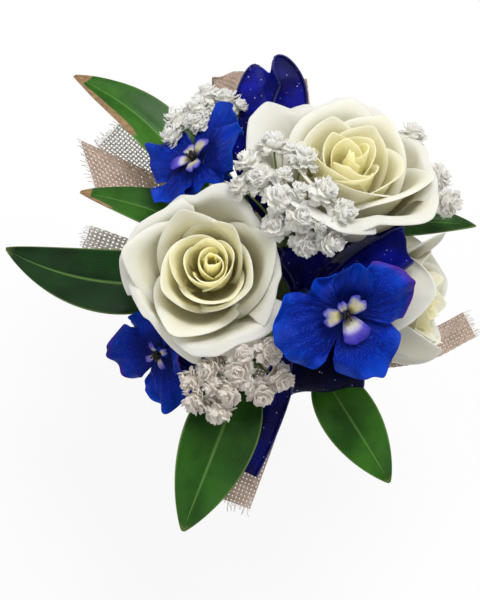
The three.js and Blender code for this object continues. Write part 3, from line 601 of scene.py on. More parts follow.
def makeRose(name, rose):
    node, size, last = nodeName(name), rose["size"], roseLook["spiral"] - 1
    turn, base = facingFrame(rose["facing"], rose["spin"]), lifted(rose["base"])
    whole = {"crumple": rose["crumple"], "tall": rose.get("tall", 1.0)}
    finish = {"slot": "rose_cream", "rounds": 1}
    heart, middle = Skin(), Skin()
    for k in range(roseLook["spiral"]):
        lean = np.interp(k, roseLook["leaning"], (1, 0))  # the outer ones keep the calyx's axis
        axis = unit(rose["facing"]) * (1 - lean) + unit(rose["heart"]) * lean
        axis = axis + dice.normal(0, roseLook["axisStray"], 3)
        dome = np.interp(k, (0, last), (rose.get("dome", 1.0), 1))
        line = between(roseLook["lines"], k) * (rose.get("slim", 1.0), dome)
        form = {key: between(values, k) for key, values in roseLook["inner"].items()}
        form["fold"] = rose.get("crease", 1.0) * form["fold"]
        stray = dice.uniform(-roseLook["turnStray"], roseLook["turnStray"])
        place = rosePetal(line, size, k * roseLook["golden"] + roseLook["firstTurn"] + stray, **form, **whole)
        skin = heart if k < roseLook["heartPetals"] else middle
        skin.grid(inPlace(place, base, facingFrame(axis, rose["spin"])), *roseLook["grid"],
                  tone=dice.uniform(0, 1), layer=0.5 * k / last)
    heart.make(name + "Heart", petalSkin, stands=(node + "_heart",), thick=roseLook["thick"], **finish)
    middle.make(name + "MiddlePetals", petalSkin, thick=roseLook["thick"], **finish)
    turns = 360 / roseLook["outerPetals"] * np.arange(roseLook["outerPetals"])
    aims = fanned(1.0, 0, 0.0, np.radians(turns)) @ turn.T
    guard = np.argmax(aims @ rose["guard"]) if "guard" in rose else None
    form = dict(roseLook["outer"], outline=outlineThrough(rose["corners"], rose["spin"]))
    form["rim"] = rose.get("rim", form["rim"])
    for k, centre in enumerate(turns):
        form["peak"] = roseLook["guardPeak"] if k == guard else roseLook["outer"]["peak"]
        place = rosePetal(rose.get("outerLine", roseLook["outerLine"]), size, centre, **form, **whole)
        skin = Skin()
        skin.grid(inPlace(place, base, turn), *roseLook["outerGrid"], tone=dice.uniform(0, 1),
                  layer=0.8 + 0.2 * dice.random())
        skin.make(f"{name}Petal{k + 1}", petalSkin, stands=(f"{node}_petal_{k + 1}",),
                  thick=roseLook["outerThick"], **finish)
    makeCalyx(name, rose, base, turn)


def makeCalyx(name, rose, base, turn):
    hip, tall = roseLook["hip"]
    stem, lobes = Skin(), Skin()
    profile = sampled(((0.6, 0, -0.6), (2.6, 0, -1.1), (hip - 0.5, 0, -2), (hip, 0, -4), (hip * 0.78, 0, -6),
                       (2.2, 0, -tall), (1.6, 0, -tall - 1)), 19)
    around = ringAngles(20)
    ribs = 1 + 0.03 * np.cos(5 * around)
    stem.rings(fanned(profile[:, :1] * ribs, 0, profile[:, 2:], around)[::-1] @ turn.T + base)
    line = stemLine(-tall + 0.5, -2 - tall, base, turn, rose["stem"])
    stem.tube(line, roseLook["stemRadius"] * (1 + 0.06 * np.sin(np.linspace(0, 9, len(line)))), 10)
    stem.make(name + "Stem", stemSkin, stands=(nodeName(name) + "_calyx_stem",), slot="stem_green")
    for angle in ringAngles(5):
        def lobe(across, along):
            half = 2.6 * (1 - along) ** 0.7 * (0.6 + 0.9 * along)
            up = -2.6 + 2.6 * along + 0.6 * along ** 2 + 0.35 * across ** 2 * (1 - along)
            return fanned(hip - 1.4 + 9.5 * along, across * half, up, angle)
        lobes.grid(inPlace(lobe, base, turn), 6, 10, tone=dice.random())
    lobes.make(name + "CalyxLobes", stemSkin, slot="stem_green", thick=0.5)


for name, rose in roseLook["roses"].items():
    makeRose(name, rose)
print("roses ready")


# delphinium florets: five ruffled sepals round a pale eye, the spur and the stalk behind

floretLook = {
    "thick": 0.4, "grid": (30, 24), "cup": 3.5, "core": 3.6, "spur": (13, 1.5), "stalkRadius": 1.1,
    "mouth": ((0.5, -0.4), (4.6, -0.5), (5.0, -0.8), (3.8, -1.7), (2.4, -2.6)),
    "eyeThick": 0.35, "eyeGrid": (10, 9), "stamens": 11, "stamen": (0.16, 0.15, 0.14, 0.14, 0.16, 0.36, 0.2),
    # per sepal: turn, length and width as shares, lift and how purple the tip is
    # per eye petal: turn, length, width, tilt and how lilac it is
    "florets": {
        "floretBack": {
            "eye": (-27, 33, 23.6), "facing": (-0.55, 0.38, 0.74), "spin": 0, "sepal": 20,
            "stem": ((-13, 24, 9.1), (0, 16, 0.1)),
            "sepals": ((4, 0.92, 0.9, 0.7, 0), (60, 1.05, 0.9, -0.4, 0), (150, 1.0, 0.94, 0.5, 0.2),
                       (216, 0.86, 0.94, -2.4, 0.1), (292, 0.6, 0.9, -4.5, 0)),
            "eyePetals": ((180, 8.0, 6.5, 30, 1), (50, 6.8, 5.5, 50, 0), (-75, 6.8, 5.5, 45, 0.1),
                          (115, 5.5, 4.5, 62, 0.3))},
        "floretFront": {
            "eye": (17, -17.5, 29.1), "facing": (0.1, -0.5, 0.84), "spin": 22, "sepal": 21,
            "stem": ((11, -13, 13.1), (3, -12, 5.1), (0, -12, 0.1)),
            "sepals": ((8, 1.04, 1.0, 0.7, 1.0), (57, 0.76, 0.64, 2.5, 0), (118, 0.62, 0.7, -4, 0),
                       (180, 1.06, 1.2, 0.4, 0), (280, 1.02, 1.1, -0.2, 0.1)),
            "eyePetals": ((28, 6.8, 6.4, 52, 0), (165, 6.8, 6.4, 48, 0), (-82, 8.8, 9.4, 36, 1.0),
                          (95, 4.0, 3.2, 72, 0.5))},
        "floretLeft": {
            "eye": (-38, -23, 7.1), "facing": (-0.5, -0.55, 0.67), "spin": 40, "sepal": 17,
            "stem": ((-18, -15, 2.1), (0, -16, -0.9)),
            "sepals": ((-30, 0.62, 0.95, 3.0, 0.9), (85, 0.85, 0.9, -3, 0), (140, 1.05, 1.08, 0.5, 0.8),
                       (232, 1.05, 1.05, -0.5, 0), (292, 1.1, 0.85, -2.5, 0)),
            "eyePetals": ((-20, 4.2, 2.4, 74, 0.2), (70, 4.0, 2.2, 76, 0.9), (160, 4.2, 2.4, 72, 0.8),
                          (-110, 4.4, 2.8, 70, 0.6))},
    },
}


def sepalShape(length, width, angle, lift):
    phase = phases(6)
    twist, droop = dice.uniform(-0.16, 0.16), dice.uniform(0.0, 1.0)

    def place(across, along):
        side = np.abs(across)
        notch = 0.05 * np.exp(-(across / 0.16) ** 2) + 0.025 * np.sin(7 * across + phase[0])
        reach = along * (1 - 0.36 * side ** 2.0 + notch)
        half = width / 2 * np.interp(reach, (0, 0.15, 0.4, 0.7, 1.06), (0.26, 0.5, 0.88, 1.0, 0.82))
        shift = across * half
        rim = smooth(0.3, 1.0, np.maximum(along, side * smooth(0.1, 0.5, along)))
        ruffle = rim * (1.5 * np.sin(5.5 * across + phase[1]) * along
                        + 0.8 * np.sin(10 * across + phase[2]) * along ** 2
                        + 1.1 * np.sin(6 * along + phase[3]) * across
                        + 0.45 * np.sin(13 * along + phase[5]) * across)
        ribs = 0.3 * np.sin(9 * np.pi * across * (1 - 0.3 * along) + phase[4])
        ribs = ribs * smooth(0.1, 0.4, along) * (1 - 0.7 * along)
        up = floretLook["cup"] * np.interp(reach, (0, 0.3, 0.7, 1.0), (-0.1, 0.0, 0.3, 0.85))
        up = up + lift * smooth(0.1, 0.8, along) + ruffle + ribs + twist * shift
        up = up + 1.7 * (1 - across ** 2) * smooth(0.15, 0.55, along) * (1 - 0.4 * along)
        up = up - droop * 2.2 * smooth(0.6, 1.0, along) * (0.4 + 0.6 * side)
        return fanned(2.0 + (length - 2.0) * reach, shift, up, angle)
    return place


def eyePetal(angle, long, wide, tilt, notch):
    phase = phases(2)

    def place(across, along):
        cut = notch * np.exp(-(across / 0.22) ** 2) * along ** 3  # the notched tip
        reach = along * (1 - 0.3 * np.abs(across) ** 2 - cut)
        half = wide / 2 * np.interp(reach, (0, 0.35, 0.75, 1), (0.35, 0.7, 1.0, 0.9))
        bend = math.radians(tilt) * (1 - 0.75 * reach)
        up = 1.4 + long * reach * np.sin(bend) + 0.25 * np.sin(5 * across + phase[0]) * along ** 2
        up = up + 0.5 * across ** 2 * (1 - along)
        return fanned(1.0 + long * reach * np.cos(bend), across * half, up, angle)
    return place


def makeFloret(name, floret):
    node, size = nodeName(name), floret["sepal"]
    turn, eye = facingFrame(floret["facing"], floret["spin"]), lifted(floret["eye"])
    sepals, back, stalk, bee, throat = (Skin() for _ in range(5))
    for aim, long, wide, lift, tip in floret["sepals"]:
        place = sepalShape(size * long, size * wide, math.radians(aim), lift)
        sepals.grid(inPlace(place, eye, turn), *floretLook["grid"], tone=dice.uniform(0, 0.8), layer=tip)
    sepals.make(name + "Sepals", sepalSkin, stands=(node + "_sepals",), slot="sepal_blue",
                thick=floretLook["thick"], rounds=1)
    long, wide = floretLook["spur"]
    spur = sampled(((0.6, 0, -0.4), (2.5, 0, -long / 2), (6, 0, -long)), 14)
    back.tube(spur @ turn.T + eye, np.linspace(wide + 0.6, 0.6, len(spur)), 12, tone=0.6)
    mouth = np.array(floretLook["mouth"])  # the spur's mouth, under the sepals
    back.rings(fanned(mouth[:, :1], 0, mouth[:, 1:], ringAngles(24))[::-1] @ turn.T + eye)
    back.make(name + "Spur", sepalSkin, slot="sepal_blue")
    line = stemLine(-1.0, -floretLook["core"] - 3, eye, turn, floret["stem"])
    stalk.tube(line, np.linspace(1.3, floretLook["stalkRadius"], len(line)), 10)
    stalk.make(name + "Stalk", stemSkin, slot="stem_green")
    for aim, long, wide, tilt, lilac in floret["eyePetals"]:
        place = eyePetal(math.radians(aim), long, wide, tilt, 0.22 - 0.17 * lilac)
        bee.grid(inPlace(place, eye, turn), *floretLook["eyeGrid"], tone=dice.random(), layer=lilac)
    bee.make(name + "Eye", eyeSkin, stands=(node + "_eye",), slot="eye_white", thick=floretLook["eyeThick"],
             rounds=1)
    for k in range(floretLook["stamens"]):
        foot = fanned(0.4, 0, 1.0, goldenTurn * k)
        tip = fanned(0.5 + 0.12 * k, 0, 4.2 + 0.15 * (k % 4), goldenTurn * k)
        throat.tube(sampled((foot, tip * (0.8, 0.8, 0.6), tip), 7) @ turn.T + eye, floretLook["stamen"], 7)
    throat.make(name + "Stamens", stamenSkin, slot="eye_white")


for name, floret in floretLook["florets"].items():
    makeFloret(name, floret)
print("florets ready")


# baby's breath: double blossoms of small notched petals on thin branching stems

sprayLook = {
    "blossom": 4.9, "open": (0.94, 1.04), "bud": (0.5, 0.62), "thick": 0.16, "stemRadius": 0.7,
    "twigRadii": (0.42, 0.3), "cupHeights": (-1.5, -0.9, -0.3, 0.3), "cupRadii": (0.35, 0.75, 1.05, 0.9),
    "cupFor": 4.2,
    # whorls of petals: count, lean in degrees, length as a share, height
    "whorls": ((9, -24, 0.92, -0.1), (10, 6, 1.0, 0.0), (9, 34, 0.95, 0.08), (7, 58, 0.85, 0.14),
               (4, 80, 0.75, 0.18)),
    "sprays": {
        "sprayLeft": {
            "foot": (0, 15, 0.1), "fork": (-19, 36, 10.1), "aged": 0.05,
            "blossoms": ((-33, 49, 18.1), (-27, 51.5, 19.1), (-24, 57, 18.1), (-34, 44.5, 17.1),
                         (-25.5, 46.5, 20.1), (-18, 55, 19.1)),
            "buds": ((-29, 47, 22), (-21, 51, 21.5), (-14, 53, 20))},
        "sprayCentre": {
            "foot": (-1, 8, 0.1), "fork": (-2, 10, 25.1), "aged": 0.08,
            "blossoms": ((-4, 32, 38.1), (4.7, 25.7, 41.1), (-11.3, 26.8, 36.1), (-7.5, 20.2, 39.1),
                         (-2.5, 13.9, 41.1), (3.3, 8.3, 41.1), (10, 14.6, 44.1), (15.6, 9.5, 41.1),
                         (12.2, 2.6, 36.1), (-3.3, 8, 35.1), (4.9, 3, 34.1), (-12.8, 19.8, 34.1)),
            "buds": ((3, 15, 44), (9, 6, 41), (-1, 21, 42), (1, 29, 41))},
        "sprayFront": {
            "foot": (0, -15, 0.1), "fork": (-10, -26, 9.1), "aged": 0.6,
            "blossoms": ((-5.6, -26.8, 20.1), (-14, -31.8, 19.1), (-22.4, -31.2, 17.1), (-27.6, -33.5, 13.1),
                         (-26.6, -39.1, 12.1), (-20, -42, 12.1), (-7.7, -37.2, 14.1), (-2.3, -33.1, 15.1),
                         (-17, -37.4, 16.1)),
            "buds": ((-12.8, -28.3, 23), (-20, -28.8, 15.5), (-22, -36.5, 17), (-12, -36, 18))},
        "sprayRight": {
            "foot": (0, 15, 0.1), "fork": (34, 30, 4.1), "aged": 0.2,
            "blossoms": ((40, 45, 15.1), (47.5, 32, 13.1), (50, 23, 15.1)), "buds": ()},
    },
}


def addBlossom(skin, place, up, size, tone):  # whorls of small frilled petals round a closed core
    turn = facingFrame(up, dice.uniform(0, 360))
    tilt = np.linspace(0.1, 3.0, 7)[:, None]
    core = fanned(np.sin(tilt), 0, 0.9 * np.cos(tilt) + 0.25, ringAngles(10))
    skin.rings(0.55 * size * core[::-1] @ turn.T + place, tone=tone)
    for count, lean, share, height in sprayLook["whorls"]:
        start = dice.uniform(0, 6)
        for k in range(count):
            angle = start + fullTurn * k / count + dice.uniform(-0.25, 0.25)
            long, wide = size * share * dice.uniform(0.82, 1.08), size * dice.uniform(0.55, 0.75)
            bend, phase = math.radians(lean + dice.uniform(-14, 14)), dice.uniform(0, 6, 2)
            curl, twist = dice.uniform(-0.5, 0.6), dice.uniform(-0.5, 0.5)

            def petal(across, along):
                reach = along * (1 - 0.2 * across ** 2 + 0.05 * np.sin(7 * across + phase[0]))
                side = across * wide / 2 * np.interp(reach, (0, 0.45, 0.85, 1), (0.3, 0.65, 1.0, 0.9))
                curve = bend + curl * reach ** 2
                frill = 0.05 * np.sin(6 * across + phase[1]) * along ** 2 + 0.07 * across ** 2 * along
                rise = size * (height + frill) + long * reach * np.sin(curve) + twist * side * along
                return fanned(0.25 + long * reach * np.cos(curve), side, rise, angle)
            skin.grid(inPlace(petal, place, turn), 6, 5, tone=np.clip(tone + dice.uniform(-0.15, 0.15), 0, 1))


def makeSpray(name, spray):
    foot, fork = lifted(spray["foot"]), lifted(spray["fork"])
    heads, twigs = Skin(), Skin()
    twigs.tube(sampled((foot, (foot + fork) / 2, fork), 12, 0.05), sprayLook["stemRadius"], 8)
    for k, head in enumerate(lifted(spray["blossoms"] + spray["buds"])):
        up = unit(head - fork)
        bow = np.cross(up, (0.3, 0.5, 0.8)) * 1.2
        line = sampled((fork - (fork - foot) * 0.05, (fork + head) / 2 + bow, head - up * 0.6), 9)
        twigs.tube(line, np.linspace(*sprayLook["twigRadii"], len(line)), 6)
        sizes = sprayLook["open" if k < len(spray["blossoms"]) else "bud"]
        size = sprayLook["blossom"] * dice.uniform(*sizes)
        cupSize = size / sprayLook["cupFor"]
        twigs.tube(head + up * np.array(sprayLook["cupHeights"])[:, None] * cupSize,
                   np.array(sprayLook["cupRadii"]) * cupSize, 8)
        addBlossom(heads, head, up + dice.uniform(-0.15, 0.15, 3), size, spray["aged"])
    heads.make(name + "Blossoms", blossomSkin, stands=(nodeName(name),), slot="blossom_white",
               thick=sprayLook["thick"])
    twigs.make(name + "Twigs", stemSkin, slot="stem_green")


for name, spray in sprayLook["sprays"].items():
    makeSpray(name, spray)
print("baby's breath ready")


# ruscus leaves on wired stalks

leafLook = {
    "thick": 0.55, "grid": (18, 44), "stalkRadii": (0.9, 0.75),
    # dryEdge: the side that has dried, from the share dryFrom of the length on
    "leaves": {
        "leafBackLeft": {
            "hinge": (-6.5, 14, 0.1), "base": (-26, 31, 0.1), "toward": (-0.715, 0.698, 0.025),
            "length": 59.4, "width": 20, "arch": 3, "fold": 0.25, "roll": 22, "sway": -4, "tipCurl": 0.7,
            "fresh": 0.9, "dry": 1.0, "dryEdge": 1, "dryFrom": 0.35},
        "leafLeft": {
            "hinge": (-6.5, 10, 0.1), "base": (-21, 15.5, 3.1), "toward": (-0.943, 0.332, 0), "length": 46.7,
            "width": 16, "arch": 3, "fold": 0.2, "roll": 22, "tipCurl": 0.6, "fresh": 0.6,
            "dry": 1.0, "dryEdge": 1, "dryFrom": 0.62},
        "leafFarLeft": {
            "hinge": (-6.5, 6, -0.9), "base": (-27, 4, -1.4), "toward": (-0.985, 0.167, -0.04),
            "length": 62.9, "width": 21, "arch": 4, "fold": 0.15, "roll": -8, "sway": 6.5, "tipCurl": 0.3,
            "fresh": 0.0, "dry": 0.15},
        "leafFront": {
            "hinge": (-3, -19.3, 0.1), "base": (-13, -29, 1.1), "toward": (-0.363, -0.922, -0.137),
            "length": 51, "width": 23, "arch": 4, "fold": 0.2, "roll": -6, "tipCurl": 0.4, "fresh": 0.48,
            "dry": 0.1},
        "leafFrontRight": {
            "hinge": (3.5, -19.3, 0.1), "base": (11, -27, -1.4), "toward": (0.532, -0.817, -0.223),
            "length": 40.4, "width": 18, "arch": 3, "fold": 0.15, "roll": 8, "tipCurl": 0.3, "fresh": 0.75,
            "dry": 0.1},
        "leafRight": {
            "hinge": (6.5, 14, 0.1), "base": (21, 20.5, 0.1), "toward": (0.998, 0.025, -0.049),
            "length": 40.6, "width": 12, "arch": 3, "fold": 0.3, "roll": -10, "tipCurl": 0.3, "fresh": 0.4,
            "dry": 0.2},
    },
}


def makeLeaf(name, leaf):
    node, foot, hinge = nodeName(name), lifted(leaf["base"]), lifted(leaf["hinge"])
    run, roll = unit(leaf["toward"]), math.radians(leaf["roll"])
    level = unit(np.cross((0, 0, 1), run))
    side = level * math.cos(roll) + np.cross(run, level) * math.sin(roll)
    face = np.cross(run, side)
    phase = phases(2)

    def blade(across, along):
        share = 0.012 + 0.983 * along
        half = np.maximum(leaf["width"] / 2 * 2.55 * share ** 0.55 * (1 - share) ** 0.85, 0.12)
        hump = 4 * along * (1 - along)
        rise = leaf["arch"] * hump + leaf["fold"] * half * across ** 2
        rise = rise - 0.3 * np.exp(-(across / 0.07) ** 2) * smooth(0, 0.1, along)  # midrib groove
        rise = rise + 0.35 * np.sin(8 * along + phase[0]) * across ** 2 * np.sign(across)
        rise = rise + leaf["tipCurl"] * smooth(0.78, 1.0, along) * across ** 2
        shift = across * half + leaf.get("sway", 0) * hump  # bowed midrib
        long = leaf["length"] * along
        return foot + run * long[..., None] + side * shift[..., None] + face * rise[..., None]

    def dried(across, along):
        edge = smooth(0.45, 0.85, across * leaf.get("dryEdge", 0))
        edge = edge * smooth(0, 0.25, along - leaf.get("dryFrom", 0))
        return leaf["dry"] * np.maximum(smooth(0.88, 0.97, along), edge)
    skin, stalk = Skin(), Skin()
    skin.grid(blade, *leafLook["grid"], tone=leaf["fresh"], layer=dried)
    skin.make(name, leafSkin, body=node, stands=(node,), slot="leaf_green", thick=leafLook["thick"], rounds=1)
    line = sampled((hinge, hinge * 0.4 + foot * 0.6, foot + run * 3 + face * leaf["arch"] * 0.1), 14)
    stalk.tube(line, np.linspace(*leafLook["stalkRadii"], len(line)), 9)
    stalk.make(name + "Stalk", stemSkin, body=node, slot="leaf_green")


for name, leaf in leafLook["leaves"].items():
    makeLeaf(name, leaf)
print("leaves ready")


# ribbons: the net is woven open, the organza is sheer with wired edges

ribbonLook = {
    "gathered": 5, "gatherShare": 0.3, "fold": 0.9, "leastFlat": 10, "pitch": 1.15, "thread": 0.72,
    "leastThreads": 4, "netThick": 0.16, "threadLift": 0.13, "frayRadius": 0.11, "sheerThick": 0.12,
    "edgeRadius": 0.32, "edgeAt": 0.99, "loopGrid": (20, 90), "tailGrid": (20, 50),
    # hinged tails ride on a body of their own; ends: a slanted cut
    "nets": {
        "netTailLeft": {
            "hinged": True, "width": 16, "white": 0.05, "ends": (0.83, 1.0),
            "points": ((-5, 13, -2.9), (-30, 25.5, -3.9), (-69.5, 45.2, -5.5)),
            "across": ((0.3, 1, 0), (0.3, 1, 0.2))},
        "netTailBackLeft": {
            "hinged": True, "width": 19, "white": 1.0, "thread": 0.42,
            "points": ((-3, 17, -4.9), (-28, 36, -9.9), (-56, 58, -9.4)),
            "across": ((0.6, 0.8, 0), (0.4, 1, 0))},
        "netTailFarLeft": {
            "width": 8, "white": 0.7, "thread": 0.56,
            "points": ((-5, 7, -4.6), (-22, 10, -5.6), (-38, 12.5, -10.9), (-64, 22, -12.9)),
            "across": ((0.1, 1, 0), (0.1, 1, 0))},
        "netTailFront": {
            "hinged": True, "width": 13, "white": 0.2,
            "points": ((-1, -16, -4.4), (-7, -38, -8.9), (-17, -65.5, -12.9)),
            "across": ((1, 0, 0), (1, 0.2, 0))},
        "netTailRight": {
            "hinged": True, "width": 10, "white": 0.1,
            "points": ((4, -15, -3.9), (18, -16, -11.9), (33, -14.5, -22.9), (47, -12, -22.9),
                       (60.5, -6, -19.4)),
            "across": ((0.1, 1, 0), (0.4, 1, 0))},
        "netLoopLeft": {
            "loop": True, "width": 14, "white": 0.1,
            "points": ((-2, 16, -1.9), (-10, 44, -1.9), (-16, 67, 4.1), (-16, 70, 9.1), (-11, 46, 7.1),
                       (-2, 16, 2.1)),
            "across": ((1, 0.25, 0), (1, 0.25, 0))},
        "netLoopRight": {
            "loop": True, "width": 10, "white": 0.1,
            "points": ((2, 16, -1.9), (4, 44, -1.9), (2.5, 66, 4.1), (2.5, 68, 9.1), (4, 46, 7.1),
                       (2, 16, 2.1)),
            "across": ((1, 0, 0), (1, 0, 0))},
    },
    "sheers": {
        "sheerLoopBack": {
            "loop": True, "width": 13, "navyAndShade": 0.0,
            "points": ((-3, 14, 6.1), (-12, 40, 15.1), (-9, 57, 21.1), (-4.5, 64, 23.1), (0, 60, 20.1),
                       (1, 42, 13.1), (2, 14, 3.1)),
            "across": ((0.9, 0.25, 0.35), (0.9, 0.25, 0.35))},
        "sheerLoopRight": {
            "loop": True, "width": 12, "navyAndShade": 0.15,
            "points": ((9, -7, 13.6), (21, -2, 22.1), (31, 1.5, 27.1), (35.5, 5, 27.6), (30, 7, 19.1),
                       (18, 3, 13.6), (9, -5, 10.6)),
            "across": ((0, 0.9, 0.4), (0, 0.9, 0.4))},
        "sheerLoopLeft": {
            "loop": True, "width": 17, "navyAndShade": 0.45,
            "points": ((5, -5, 15.6), (6, 0, 22.1), (6.5, 4, 26.6), (5, 5, 24.1), (4, 1, 18.1),
                       (4, -6, 13.1)),
            "across": ((0.95, 0.2, -0.2), (0.95, 0.2, -0.2))},
        # near-black navy here: painted shade under the front floret
        "sheerLoopFront": {
            "loop": True, "width": 22, "navyAndShade": 0.93,
            "points": ((8, -10, 13.1), (12, -24, 13.6), (12.5, -34, 12.1), (12.5, -35.5, 8.1), (12, -26, 5.6),
                       (7, -10, 9.1)),
            "across": ((1, 0.1, 0), (1, 0.1, 0))},
        "sheerTail": {
            "hinged": True, "width": 9, "navyAndShade": 0.6,
            "points": ((1, -16, -0.9), (-3, -34, -1.9), (-8, -47, -3.9), (-13, -57, -6.9)),
            "across": ((1, 0, 0), (1, 0.3, 0.2))},
    },
}


def ribbonPlace(item):
    points = lifted(item["points"])
    start, end = np.array(item["across"], float)

    def place(across, along):
        along = along * np.interp(across, (-1, 1), item.get("ends", (1, 1)))
        fromEnd = np.minimum(along, 1 - along) if item.get("loop") else along
        opened = smooth(0, ribbonLook["gatherShare"], fromEnd)
        half = (ribbonLook["gathered"] + (item["width"] - ribbonLook["gathered"]) * opened) / 2
        tangent = unit(curveThrough(points, np.minimum(along + 0.002, 1))
                       - curveThrough(points, np.maximum(along - 0.002, 0)))
        side = start + (end - start) * along[..., None]
        side = unit(side - tangent * (side * tangent).sum(-1, keepdims=True))
        face = np.cross(tangent, side)
        fold = ribbonLook["fold"] * np.cos(1.5 * np.pi * across) * (1 - 0.5 * opened)
        fold = fold + 0.25 * np.sin(7 * np.pi * across) * (1 - opened)  # fine pleats at the gathered end
        return curveThrough(points, along) + side * (across * half)[..., None] + face * fold[..., None]
    return place


def lineAlong(place, across, count):
    return place(np.full(count, across), np.linspace(0, 1, count))


def flatSize(item, place):  # width and length of the ribbon laid flat
    long = np.linalg.norm(np.diff(lineAlong(place, 0.0, 80), axis=0), axis=1).sum()
    return max(item["width"], ribbonLook["leastFlat"]) * mm, float(long) * mm


def threadSteps(cells, share):  # edges of threads and gaps over a number of cells, 0..1
    edges = [0.0]
    for k in range(cells):
        edges += [k + share / 2, k + 1 - share / 2]
    return np.array(edges + [cells]) / cells


def makeNet(name, item):
    place, node = ribbonPlace(item), nodeName(name)
    body = node if item.get("hinged") else "corsage"
    flat, share = flatSize(item, place), item.get("thread", ribbonLook["thread"])
    columns = max(round(item["width"] / ribbonLook["pitch"]), ribbonLook["leastThreads"])
    rows = round(flat[1] / mm / ribbonLook["pitch"])
    across, along = np.meshgrid(2 * threadSteps(columns, share) - 1, threadSteps(rows, share))
    points = place(across, along)
    face = unit(np.cross(np.gradient(points, axis=1), np.gradient(points, axis=0)))
    row, column = ((k + 1) // 2 for k in np.indices(across.shape))
    over = np.where((row + column) % 2, 1, -1)  # threads pass over and under
    skin, threads = Skin(), Skin()
    skin.add(points + face * (ribbonLook["threadLift"] * over)[..., None], quads(*across.shape, woven=True),
             across, along, tone=item["white"])
    obj = skin.make(name, netSkin, body=body, stands=(node,), slot="mesh_blush", thick=ribbonLook["netThick"],
                    soft=False)
    frayed = ()
    if not item.get("loop"):
        for k in range(2 * columns):
            near, end = place(np.full(2, (2 * k + 1) / (2 * columns) - 1), np.array((0.99, 1.0)))
            run = unit(end - near) + dice.uniform(-0.35, 0.35, 3)
            far = dice.uniform(0.5, 2.6)
            tip = end + (run + dice.uniform(-0.3, 0.3, 3)) * far
            threads.tube(sampled((near, end + run * far * 0.5, tip), 6), ribbonLook["frayRadius"], 5,
                         tone=min(item["white"] + 0.5, 1))
        frayed = (threads.make(name + "Fray", netSkin, body=body, slot="mesh_blush"),)


def makeSheer(name, item):
    place, node = ribbonPlace(item), nodeName(name)
    body = node if item.get("hinged") else "corsage"
    skin, edges = Skin(), Skin()
    skin.grid(place, *ribbonLook["loopGrid" if item.get("loop") else "tailGrid"], tone=item["navyAndShade"])
    obj = skin.make(name, sheerSkin, body=body, stands=(node,), slot="organza_blue",
                    thick=ribbonLook["sheerThick"])
    for side in (-ribbonLook["edgeAt"], ribbonLook["edgeAt"]):
        edges.tube(lineAlong(place, side, 100), ribbonLook["edgeRadius"], 7)
    wired = edges.make(name + "Edges", sheerEdgeSkin, body=body, slot="organza_blue")
    flatSize(item, place)


for name, item in ribbonLook["nets"].items():
    makeNet(name, item)
for name, item in ribbonLook["sheers"].items():
    makeSheer(name, item)

knotLook = {"centre": (6, -8, 11.6), "facing": (0.3, -0.4, 0.85), "radius": 5, "pleats": 9}


def makeKnot():
    turn, around = facingFrame(knotLook["facing"], 0), ringAngles(54)
    tilt = np.linspace(0.06, np.pi - 0.06, 26)[:, None]
    pleat = 0.05 * np.sin(knotLook["pleats"] * tilt * 2 + 1.5 * np.sin(around))
    pleat = pleat + 0.06 * np.cos(3 * around + 1.5 * np.cos(tilt))
    radius = knotLook["radius"] * (0.93 + pleat)
    loops = fanned(radius * np.sin(tilt), 0, radius * np.cos(tilt), around)
    skin = Skin()
    skin.rings(loops[::-1] @ turn.T + lifted(knotLook["centre"]))
    skin.make("sheerKnot", sheerEdgeSkin, stands=("organza_knot",), slot="organza_blue")


makeKnot()
print("ribbons ready")


# taped stems, binding wire and the clamp

bundleLook = {
    "radius": 6, "length": 36, "tapePitch": 5.5, "lap": 0.22, "inEachEnd": 8, "wireRadius": 0.4,
    "wireGap": 0.3, "wirePitch": 1.4, "wireTurns": 3, "wireStart": -9}


def makeBundle():
    tape, cut, wire = Skin(), Skin(), Skin()
    half, around = bundleLook["length"] / 2, ringAngles(40)
    y = np.linspace(-half, half, 150)[:, None]
    lap = (y / bundleLook["tapePitch"] + around / fullTurn) % 1
    lumps = 0.14 * np.sin(5 * around + 0.5 * np.sin(y * 0.4)) + 0.06 * np.sin(11 * around + y)
    radius = bundleLook["radius"] - 0.25 - bundleLook["lap"] * lap + lumps
    radius = radius * (0.72 + 0.28 * smooth(0, 1.4, half - np.abs(y)))  # rounded at both ends
    x, z = radius * np.cos(around), -radius * np.sin(around)
    tape.rings(lifted(np.stack(np.broadcast_arrays(x, y, z), -1)))
    tape.make("tapedStems", tapeSkin, stands=("stem_bundle",), slot="floral_tape")
    for end in (-1, 1):
        for k in range(bundleLook["inEachEnd"]):
            x, z = circle(0.9 + 0.33 * k, goldenTurn * k)
            line = [(x, end * y, z) for y in np.linspace(half - 2, half + 0.15, 3)]
            cut.tube(lifted(line[::end]), 0.85 + 0.1 * (k % 3), 10)
    cut.make("cutStems", stemSkin, slot="stem_green")
    far = bundleLook["radius"] + bundleLook["wireGap"] + bundleLook["wireRadius"]
    angle = np.linspace(0, fullTurn * bundleLook["wireTurns"], 150)
    y = bundleLook["wireStart"] + bundleLook["wirePitch"] * angle / fullTurn
    x, z = circle(far, angle).T
    wire.tube(lifted(np.stack((x, y, z), -1)), bundleLook["wireRadius"], 10)
    wire.make("bindingWire", wireSkin, stands=("binding_wire",), slot="binding_wire")


makeBundle()
for node in ("clamp_plate", "clamp_prong_right", "clamp_prong_left"):
    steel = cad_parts[node]
    steel.data.materials.clear()
    steel.data.materials.append(steelSkin)
print("stems and clamp ready")


# shirred satin wristband: one loop through the clamp, whose palm side drops as it stretches

